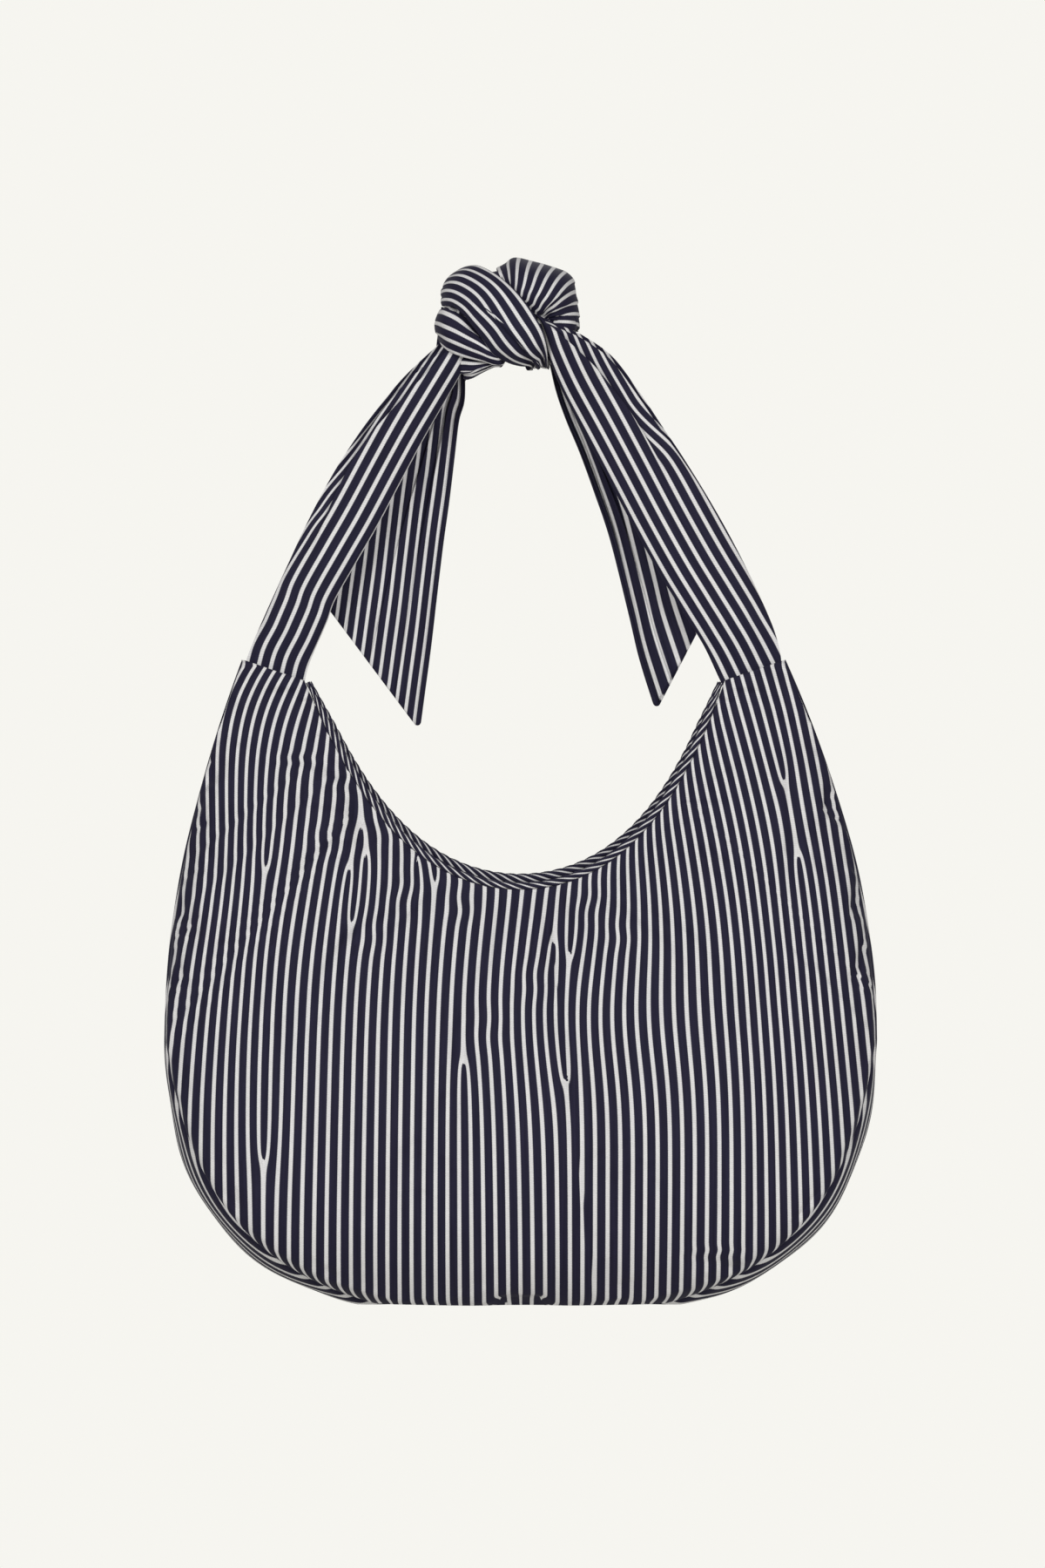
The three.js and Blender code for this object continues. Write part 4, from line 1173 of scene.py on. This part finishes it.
def make_strap(name, inner, outer, forward, pleats, marks, crowded, shift, flip):
    way = np.linspace(0, 1, 170)
    thickness = mix(0.35, 5.2, smooth((way - 0.015) / 0.12))[:,
                                                             None] + 1.0 * smooth((way[:, None] - 0.6) / 0.3)
    front, back = flat_tube(inner, outer, thickness, 170, 150)
    outward = np.sign(-normals_of(front)[..., 1].mean())
    for place, width, pull, depth in pleats:
        front = pleat(front, place(way), width, pull(way), outward * depth(way) * MM)
    front = ripples(front, marks)
    grid = closed_ring(front, back)
    grid[..., 1] += (forward(way) * MM)[:, None]
    uv = strap_uv(grid, shift, front.shape[1], pleats[0][0](way), crowded(way))
    strap = cloth(f"{name}_cloth", grid, uv, striped, closed=True, flip=flip, caps=True)
    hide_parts(name)
    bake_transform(strap)
    return strap


def grows(first, last, most):
    """A value that grows from nothing to its most between two places along the strap."""
    return lambda way: most * smooth((way - first) / (last - first))


LEFT_PLEATS = (
    (lambda way: 0.58 + 0.12 * smooth((0.90 - way) / 0.3), 0.085, grows(0.30, 0.66, 2.9),
     grows(0.30, 0.70, 5.0)),
    (lambda way: 0.80 + 0.10 * smooth((0.95 - way) / 0.2), 0.05, grows(0.52, 0.82, 2.6),
     grows(0.52, 0.82, 3.0)),
)
RIGHT_PLEATS = (
    (lambda way: 0.56 + 0.08 * smooth((0.9 - way) / 0.35), 0.07, grows(0.44, 0.70, 2.6),
     grows(0.44, 0.70, 4.6)),
    (lambda way: np.full_like(way, 0.92), 0.03, grows(0.30, 0.50, 1.7), grows(0.30, 0.50, 1.4)),
)
LEFT_CREASES = ((0.42, 0.70, 0.05, 0.035, 1.0, 0.6), (0.36, 0.63, 0.05, 0.04, -0.8, 0.4),
                (0.12, 0.55, 0.05, 0.03, 0.7, 0.2), (0.22, 0.30, 0.10, 0.05, 0.5, 0.2),
                (0.55, 0.45, 0.12, 0.06, 0.5, 0.1))
RIGHT_CREASES = ((0.10, 0.62, 0.07, 0.04, 1.0, 0.3), (0.06, 0.30, 0.06, 0.05, 0.7, -0.2),
                 (0.30, 0.72, 0.10, 0.05, 0.5, 0.1), (0.45, 0.35, 0.14, 0.06, 0.5, 0.1))
left_strap = make_strap("left_strap", LEFT_INNER, LEFT_OUTER, lambda w: 1.0 - 1.5 * smooth((w - 0.8) / 0.2),
                        LEFT_PLEATS,
                        LEFT_CREASES, grows(0.20, 0.45, 0.7), 0.0 * MM, True)
right_strap = make_strap("right_strap", RIGHT_INNER, RIGHT_OUTER,
                         lambda w: 1.0 - 17.0 * smooth((w - 0.70) / 0.28), RIGHT_PLEATS,
                         RIGHT_CREASES, grows(0.45, 0.70, 0.35), 3.0 * MM, False)

# %% [markdown]
# ## The tails
# The loose end of each strap hangs behind it: the same flat tube, about 57 mm wide, cut off at a slant and
# hemmed. It is gathered at the knot and opens into shallow pleats. Its free edge is rolled.

# %% Tail edges, in millimetres across and up
LEFT_FREE = ((-30.5, 36), (-32, 22), (-32.5, 9), (-32, -5.8), (-32.5, -17.3), (-35.5, -28), (-37.8, -46.4),
             (-40.9, -72.4), (-44.7, -99.9), (-48.4, -130.5), (-51.6, -158), (-55.1, -184), (-58.2, -207.2))
LEFT_HIDDEN = ((-40, 36), (-41.5, 22), (-43, 9), (-47, -7.5), (-54, -22.5), (-62, -37.5), (-73, -57.5),
               (-84, -77.5), (-95, -98.5), (-104, -116.5), (-110.5, -129), (-112.5, -134.5))
RIGHT_FREE = ((10, 36), (12, 24), (15, 12), (20.1, -10.4), (26.2, -28), (33.9, -46.4), (42.3, -69.4),
              (51.5, -96.9), (62.2, -139.8), (68.4, -165.8), (77.9, -196.2))
RIGHT_HIDDEN = ((21, 36), (23.5, 24), (27, 12), (33.5, -12.5), (46, -32.5), (58.5, -52.5), (71, -75),
                (82, -100), (92, -125), (99.5, -141), (103, -147.8))


# %% Tails
TAIL_GATHER = 1.42


def tail_uv(grid, shift):
    """The stripes run along the tail's free edge. The pleats hold more cloth than is seen."""
    ring = np.concatenate([grid, grid[:, :1]], 1)
    edge = ring[:, :1]
    way = np.gradient(edge[:, 0], axis=0)
    upright = np.abs(way[:, 2:3]) / np.hypot(way[:, :1], way[:, 2:3])
    across = np.abs(ring[..., 0] - edge[..., 0]) * np.median(upright) * TAIL_GATHER
    along = np.repeat(run_along(grid[:, :1], 0), ring.shape[1], 1)
    return np.stack([across + shift, along], -1)


TIP_RADIUS = 2.2 * MM


def round_tip(grid, free, hidden):
    """Draws the tail's pointed corner back onto a small circle, as turned cloth does."""
    tip, above, far = (np.array(p) * MM for p in (free[-1], free[-2], hidden[-1]))
    up, slant = ((p - tip) / np.linalg.norm(p - tip) for p in (above, far))
    halfway = (up + slant) / np.linalg.norm(up + slant)
    centre = tip + halfway * TIP_RADIUS / np.sqrt(1 - (up @ halfway) ** 2)
    out = grid[..., (0, 2)] - centre
    far = np.linalg.norm(out, axis=-1)
    beyond = (far > TIP_RADIUS) & (out @ -halfway > far * np.sqrt(1 - (up @ halfway) ** 2))
    grid[..., (0, 2)] = np.where(beyond[..., None], centre + out * (TIP_RADIUS / np.maximum(far, 1e-9))[...,
                                                                                                        None],
                                 grid[..., (0, 2)])
    return grid


def make_tail(name, free, hidden, pleats, forward, shift, flip):
    rows = 150
    way = np.linspace(0, 1, rows)
    thickness = mix(2.4, 1.3, smooth(way * 1.4))[:, None]
    front, back = flat_tube(free, hidden, thickness, rows, 150, 0.28)
    outward = np.sign(-normals_of(front)[..., 1].mean())
    share = 0.5 - 0.5 * np.cos(np.linspace(0, np.pi, 150))[None]
    hem = 1.3 * bell(share - 0.035, 0.035) - 0.5 * bell(share - 0.085, 0.02)
    front[..., 1] -= hem * MM
    back[..., 1] += 0.8 * bell(share - 0.035, 0.035) * MM
    sway = forward * smooth(share / 0.8) * MM
    front[..., 1] += sway
    back[..., 1] += sway
    for place, width, pull, depth, side in pleats:
        front = pleat(front, place(way), width, pull(way), outward * depth(way) * MM, side, 2.5)
        back[..., 1] += depth(way)[:, None] * 0.4 * MM * bell(share - place(way)[:, None], 0.12)
    # At the hem the two faces come together, on one straight line.
    closing = smooth((way[:, None] - 0.98) / 0.02)
    line = (back[:, -1:] - back[:, :1])[..., (0, 2)]
    line /= np.linalg.norm(line, axis=-1, keepdims=True)
    off = (front - back[:, :1])[..., (0, 2)]
    astray = (off[..., 0] * line[..., 1] - off[..., 1] * line[..., 0]) * closing
    front[..., 0] -= astray * line[..., 1]
    front[..., 2] += astray * line[..., 0]
    middle = (front[..., 1] + back[..., 1]) / 2
    front[..., 1] = mix(front[..., 1], middle, 0.9 * closing)
    back[..., 1] = mix(back[..., 1], middle, 0.9 * closing)
    grid = closed_ring(front, back)
    grid[..., 1] += 20 * MM
    uv = tail_uv(grid, shift)
    tail = cloth(f"{name}_cloth", round_tip(grid, free, hidden), uv, striped, closed=True,
                 flip=flip,
                 caps=True)
    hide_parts(name)
    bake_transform(tail)
    return tail


def fades(most, least, by=0.8):
    """A value that goes from its most at the knot to its least further down."""
    return lambda way: mix(most, least, smooth(way / by))


def at(first, last):
    return lambda way: mix(first, last, way)


TAIL_PLEATS = {
    "left": ((at(0.26, 0.14), 0.05, fades(1.7, 0.6), fades(3.6, 1.4), 1),
             (at(0.46, 0.34), 0.06, fades(2.6, 1.2), fades(7.0, 3.0), 1),
             (at(0.66, 0.52), 0.05, fades(2.6, 1.2), fades(8.0, 3.0), 1),
             (at(0.84, 0.70), 0.05, fades(2.4, 0.9), fades(6.0, 2.2), -1)),
    "right": ((at(0.24, 0.18), 0.06, fades(2.4, 1.8), fades(6.0, 3.6), 1),
              (at(0.46, 0.40), 0.06, fades(2.6, 1.4), fades(8.0, 4.0), 1),
              (at(0.74, 0.66), 0.05, fades(2.4, 0.8), fades(7.0, 2.4), -1)),
}
left_tail = make_tail("left_tail", LEFT_FREE, LEFT_HIDDEN, TAIL_PLEATS["left"], -6.0, 2.2 * MM, True)
right_tail = make_tail("right_tail", RIGHT_FREE, RIGHT_HIDDEN, TAIL_PLEATS["right"], -5.0, 2.0 * MM,
                       False)

# %% [markdown]
# ## The knot
# The knot is one strap laid round the other. From the front four wraps show: a broad one from the upper
# left down to the lower right, one below it, a small fold under both, and a fan that spreads from the
# middle to the upper right. Each is a surface through a few rails that follow the folds seen in the photo,
# with its edges turned in. The back is built in the same way, turned half round.

# %% Rails of the wraps, in millimetres
BROAD_WRAP = (
    ((-36.2, 12, 55.1), (-33.5, 1, 58.8), (-26.3, -8, 59.8), (-19.2, -14, 56.8), (-11.8, -20, 51.8),
     (-3.5, -24, 44.3), (3.1, -26.5, 36.5), (8.9, -27, 27.7), (12.7, -26, 20.3), (14.7, -21, 12),
     (15.2, -11, 4.5), (13.9, 2, 2.5)),
    ((-40.4, 10, 51.8), (-41.6, 0, 53.6), (-35.8, -12, 53.9), (-27.5, -19, 51.1), (-17.6, -25, 46),
     (-7.6, -28, 37.7), (-0.2, -29, 28.6), (5.6, -28.5, 19.5), (9.8, -25, 11.2), (12.7, -15, 4.5),
     (12.7, -2, 1.6)),
    ((-44.1, 9, 46.4), (-45.5, -1, 46.7), (-41.6, -12, 46.2), (-34.2, -20, 42.7), (-24.2, -26, 37.5),
     (-14.3, -29, 30.7), (-6, -29.5, 22.8), (0.7, -28.5, 14.5), (5.6, -24, 7), (9.4, -14, 2.5), (9.8, -2, 1)),
    ((-44.8, 8, 41.4), (-45.7, -1, 41.7), (-42.1, -12, 41.2), (-35.8, -19, 37.7), (-27.5, -24.5, 30.2),
     (-19.2, -27, 21.9), (-11, -27, 13.7), (-3.5, -24.5, 7.4), (2.3, -18, 3.5), (6.9, -10, 1.2),
     (7.3, 0, 0.8)),
    ((-44.5, 8, 37.3), (-45.5, -1, 37.2), (-43.3, -8, 36.7), (-39.1, -14, 35.6), (-33.3, -19, 31.1),
     (-27.5, -21, 23.6), (-21.7, -21, 15.7), (-15.9, -19, 7.8), (-7.6, -15, 2.9), (-0.2, -11, 0.8),
     (4.8, -7, 0.7), (5.6, 2, 0.8)),
)
LOWER_WRAP = (
    ((-44.1, 9, 35.6), (-46.2, -1, 34.8), (-42.5, -10, 34.4), (-34.2, -15, 29.8), (-25.9, -16, 20.3),
     (-18.4, -14, 11.2)),
    ((-47, 8, 31.1), (-48.5, -1, 30.2), (-44.1, -12, 29), (-35.8, -17, 25.4), (-25.9, -18, 19.9),
     (-15.9, -17, 12)),
    ((-48.3, 8, 25.9), (-49.3, -1, 25.9), (-44.1, -13, 23.6), (-35.8, -18, 20.3), (-25.9, -19, 16.1),
     (-14.3, -17, 8.7)),
    ((-47.3, 8, 19.5), (-48.3, -1, 19.6), (-44.1, -12.5, 17.8), (-35.8, -17, 14.1), (-25.1, -18, 10.2),
     (-11.8, -15, 5.5)),
    ((-45, 9, 13.2), (-45.5, 0, 14.1), (-41.2, -8, 10.2), (-33.3, -12, 6.9), (-22.6, -13, 4.4),
     (-10.1, -11, 2.2)),
)
SMALL_FOLD = (
    ((-37.1, 0, 7.4), (-31.7, -7, 5.4), (-24.2, -9, 4.1), (-15.9, -8, 4.1), (-10.1, -4, 4.5)),
    ((-36.2, 0, 3.7), (-30.9, -7, 0.8), (-23.4, -9.5, 1.6), (-15.9, -8, 2.9), (-10.1, -4, 4.1)),
    ((-33.8, 2, -2.1), (-29.2, -5, -4.2), (-22.6, -7.5, -1.3), (-15.9, -6.5, 1.6), (-10.1, -3, 3.5)),
    ((-32.1, 4, -4.2), (-28.4, 0, -5.4), (-22.2, -2, -2.3), (-15.5, -2, 1), (-10.1, 0, 3.2)),
)
FAN = (
    ((-7.6, -17, 45.2), (-10, -14, 50.1), (-12, -9, 54.7), (-13.6, -2, 57.9), (-14.1, 6, 59.1)),
    ((-3.5, -19, 41), (-6, -18, 48.5), (-7.8, -12, 55.5), (-9, -3, 60.3), (-9.3, 6, 61.6)),
    ((0.5, -19, 37.3), (-0.8, -21.5, 46.4), (-2.2, -16, 55.9), (-3.2, -5, 62.6), (-3.5, 5, 64.9)),
    ((2.8, -18, 35), (4, -23, 44.3), (5.8, -18, 54.3), (7.1, -6, 60.5), (7.5, 5, 62.6)),
    ((4.8, -17, 32.7), (9.4, -24, 43.1), (13.9, -18.5, 52.2), (16.7, -7, 58), (17.4, 5, 60.1)),
    ((6.9, -15.5, 30.9), (13.5, -23, 39.8), (19.7, -19, 48.9), (24, -8, 54.7), (25.5, 4, 57)),
    ((8.8, -14, 29.4), (16.8, -21, 36.5), (24.7, -17, 43.9), (29.7, -7, 49.1), (31.2, 4, 51.1)),
    ((10.4, -13, 28.7), (18.7, -18.5, 33.6), (26.4, -15, 38.1), (31.3, -6, 41.4), (32.8, 4, 42.3)),
    ((11.6, -12, 28.4), (19.7, -16, 31.1), (27.2, -13, 33.1), (32.8, -5, 34.4), (34.3, 4, 34.5)),
    ((12.6, -11.5, 28), (20.6, -14, 28.7), (27.2, -12, 29), (33.2, -5, 29), (34.6, 4, 28.4)),
    ((13.1, -11, 27.5), (20.6, -11, 26.5), (27.2, -9, 25.3), (32.3, -4, 23.8), (33.8, 4, 22.6)),
)


# %% Wraps
KNOT_MIDDLE = np.array([-7, 1, 29]) * MM


def wrap_grid(rails, ends, along=120, across=110, tuck=4.0):
    """A smooth surface through the rails, its edges and ends turned in towards the knot's middle."""
    lines = []
    for rail in rails:
        rail = np.array(rail) * MM
        behind = np.array([0, 7, 0]) * MM
        first = [mix(rail[0], KNOT_MIDDLE, 0.55), mix(rail[0] + behind, KNOT_MIDDLE, ends[0])]
        last = [mix(rail[-1] + behind, KNOT_MIDDLE, ends[1]), mix(rail[-1], KNOT_MIDDLE, 0.55)]
        rail = np.vstack([first[:1 + (ends[0] > 0)], rail, last[1 - (ends[1] > 0):]])
        lines.append(by_length(spline(rail, 240), along))
    lines = np.stack(lines)

    def tucked(edge, inner):
        inward = KNOT_MIDDLE - edge
        inward = inward / np.linalg.norm(inward, axis=1, keepdims=True)
        return edge + 0.1 * (inner - edge) + tuck * MM * inward

    lines = np.concatenate([tucked(lines[0], lines[1])[None], lines, tucked(lines[-1], lines[-2])[None]])
    return np.stack([spline(lines[:, k], across) for k in range(along)])


def wrap_uv(grid, stripes, shift=0.0):
    """The cloth is as many stripes wide everywhere: it is gathered where the wrap narrows."""
    run = run_along(grid, 1)
    share = run / run[:, -1:]
    along = np.repeat(run_along(grid, 0).mean(1, keepdims=True), grid.shape[1], 1)
    return np.stack([share * stripes * PITCH + shift * MM, along], -1)


def gather_folds(grid, depth, seed, count=9):
    """Fine lengthwise folds, irregular across and fading along."""
    random = np.random.default_rng(seed)
    share = np.linspace(0, 1, grid.shape[1])[None, :]
    way = np.linspace(0, 1, grid.shape[0])[:, None]
    out = np.zeros(grid.shape[:2])
    for _ in range(count):
        place, width = random.uniform(0.08, 0.92), random.uniform(0.018, 0.05)
        start, end = sorted(random.uniform(0, 1, 2))
        end = max(end, start + 0.3)
        drift = random.uniform(-0.08, 0.08)
        fades_out = smooth((way - start) / 0.15) * smooth((end - way) / 0.15)
        out -= random.uniform(0.5, 1.0) * bell(share - place - drift * way, width) * fades_out
    return grid + normals_of(grid) * (out * depth * MM)[..., None]


def turned(grid, about=-7.0, width=0.92, height=0.80, level=25.0):
    """The same wrap on the back: turned half round the knot's upright axis, and a little smaller."""
    other = grid.copy()
    other[..., 0] = about * MM + width * (about * MM - grid[..., 0])
    other[..., 1] = -grid[..., 1]
    other[..., 2] = level * MM + (grid[..., 2] - level * MM) * height
    return other


def along_wrap(first, last, most):
    """A value that grows along the wrap and fades where the wrap dives into the knot."""
    return lambda way: most * smooth((way - first) / (last - first)) * smooth((0.99 - way) / 0.12)


# name, rails, how far each end turns in behind (0: it dives), stripes across, shift, depth of the gathers,
# seed, flat size, pleats
WRAPS = (
    ("broad_wrap", BROAD_WRAP, (0.18, 0), 7.4, 0.0, 0.7, 3, (0.045, 0.118), (
        (at(0.56, 0.50), 0.055, along_wrap(0.32, 0.62, 2.4), along_wrap(0.34, 0.7, 2.6), 1),
        (at(0.30, 0.26), 0.035, along_wrap(0.62, 0.86, 2.2), along_wrap(0.62, 0.86, 1.8), 1),
        (at(0.80, 0.76), 0.035, along_wrap(0.70, 0.90, 2.2), along_wrap(0.70, 0.90, 1.6), 1),
    )),
    ("lower_wrap", LOWER_WRAP, (0.18, 0), 4.6, 1.0, 0.4, 5, (0.040, 0.062), (
        (at(0.60, 0.66), 0.04, fades(1.8, 0.0, 0.7), fades(1.2, 0.0, 0.7), 1),
    )),
    ("small_fold", SMALL_FOLD, (0, 0), 4.4, 0.5, 0.4, 7, (0.028, 0.046), (
        (at(0.5, 0.5), 0.07, at(2.2, 2.2), at(1.4, 1.4), 1),
    )),
    ("fan", FAN, (0, 0.15), 12.6, 2.0, 0.5, 11, (0.086, 0.060), (
        (at(0.17, 0.13), 0.03, fades(2.4, 0.0, 0.55), fades(2.2, 0.4, 0.6), -1),
        (at(0.58, 0.60), 0.030, fades(2.5, 0.6, 0.6), fades(2.2, 0.8, 0.6), 1),
        (at(0.69, 0.71), 0.026, fades(2.6, 0.7, 0.6), fades(2.4, 1.0, 0.6), 1),
        (at(0.79, 0.81), 0.026, fades(2.6, 0.7, 0.6), fades(2.4, 1.0, 0.6), 1),
        (at(0.89, 0.90), 0.024, fades(2.2, 0.6, 0.6), fades(1.8, 0.6, 0.6), 1),
    )),
)
for name, rails, ends, stripes, shift, depth, seed, flat, pleats in WRAPS:
    grid = wrap_grid(rails, ends)
    outward = np.sign(-normals_of(grid)[..., 1].mean())
    grid = gather_folds(grid, depth * outward, seed)
    way = np.linspace(0, 1, len(grid))
    for place, width, pull, sink, side in pleats:
        grid = pleat(grid, place(way), width, pull(way), outward * sink(way) * MM, side, 3.0)
    # No fold hangs below the lowest rail.
    grid[..., 2] = np.maximum(grid[..., 2], min(point[2] for rail in rails for point in rail) * MM)
    for where, shape in (("front", grid), ("back", turned(grid))):
        piece = cloth(f"knot_{name}_{where}", shape, wrap_uv(shape, stripes, shift), striped,
                      flip=outward < 0,
                      thickness=0.9 * MM)
        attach(piece, "handle")
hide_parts("left_knot_bight", "right_knot_bight")

# %% The cloth inside the knot
angle, height = np.meshgrid(np.linspace(0, 2 * np.pi, 72, endpoint=False),
                            np.linspace(0.02, np.pi - 0.02, 48))
core = np.stack([np.sin(height) * np.cos(angle) * 0.034 - 0.008, np.sin(height) * np.sin(angle) * 0.015,
                 np.cos(height) * 0.024 + 0.030], -1)
core_uv = np.stack([angle * 0.03, height * 0.04], -1)
knot_core = cloth("knot_core", core, core_uv, striped, closed=True, flip=False, caps=True)
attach(knot_core, "handle")

# %% [markdown]
# ## Light, floor and background
# The light is soft and even, as in a product photograph: a broad lamp in front on the left, a slightly
# weaker one on the right, a faint one behind, and a dim pale world. The bag hangs, so the floor lies well
# below it.

# %% Light
def area_light(name, place, target, size, power):
    data = bpy.data.lights.new(name, "AREA")
    data.shape, data.size, data.energy = "DISK", size, power
    lamp = bpy.data.objects.new(name, data)
    lamp.location = place
    direction = np.array(target) - np.array(place)
    lamp.rotation_euler = Vector(direction).to_track_quat("-Z", "Y").to_euler()
    bpy.context.scene.collection.objects.link(lamp)
    return lamp


BAG_MIDDLE = (0, 0, -0.3)
area_light("key", (-1.5, -2.5, 1.0), BAG_MIDDLE, size=1.3, power=43)
area_light("fill", (1.5, -2.5, 0.5), BAG_MIDDLE, size=1.3, power=33)
area_light("back", (0.3, 2.4, 1.0), BAG_MIDDLE, size=1.6, power=12)

BACKGROUND = (0.923, 0.914, 0.871, 1)
world = bpy.data.worlds.new("studio")
bpy.context.scene.world = world
world.use_nodes = True
sky = world.node_tree
surround = sky.nodes["Background"]
surround.inputs["Color"].default_value = (1, 0.99, 0.98, 1)
surround.inputs["Strength"].default_value = 0.14
shown = sky.nodes.new("ShaderNodeBackground")
shown.inputs["Color"].default_value = BACKGROUND
path = sky.nodes.new("ShaderNodeLightPath")
seen = calc(sky, "MAXIMUM", calc(sky, "MAXIMUM", path.outputs["Is Camera Ray"],
                                 path.outputs["Is Glossy Ray"]), path.outputs["Is Transmission Ray"])
either = sky.nodes.new("ShaderNodeMixShader")
sky.links.new(seen, either.inputs[0])
sky.links.new(surround.outputs[0], either.inputs[1])
sky.links.new(shown.outputs[0], either.inputs[2])
sky.links.new(either.outputs[0], sky.nodes["World Output"].inputs["Surface"])

# %% Floor
FLOOR_Z = -0.80
floor_mesh = bpy.data.meshes.new("floor")
floor_mesh.from_pydata([(-2, -1.6, FLOOR_Z), (2, -1.6, FLOOR_Z), (2, 0.9, FLOOR_Z), (-2, 0.9, FLOOR_Z)], [],
                       [(0, 1, 2, 3)])
floor = bpy.data.objects.new("floor", floor_mesh)
bpy.context.scene.collection.objects.link(floor)
floor_paint = bpy.data.materials.new("floor")
floor_paint.use_nodes = True
floor_paint.node_tree.nodes["Principled BSDF"].inputs["Base Color"].default_value = BACKGROUND
floor_paint.node_tree.nodes["Principled BSDF"].inputs["Roughness"].default_value = 0.9
floor_mesh.materials.append(floor_paint)

# %% Colours as written
bpy.context.scene.view_settings.view_transform = "Standard"
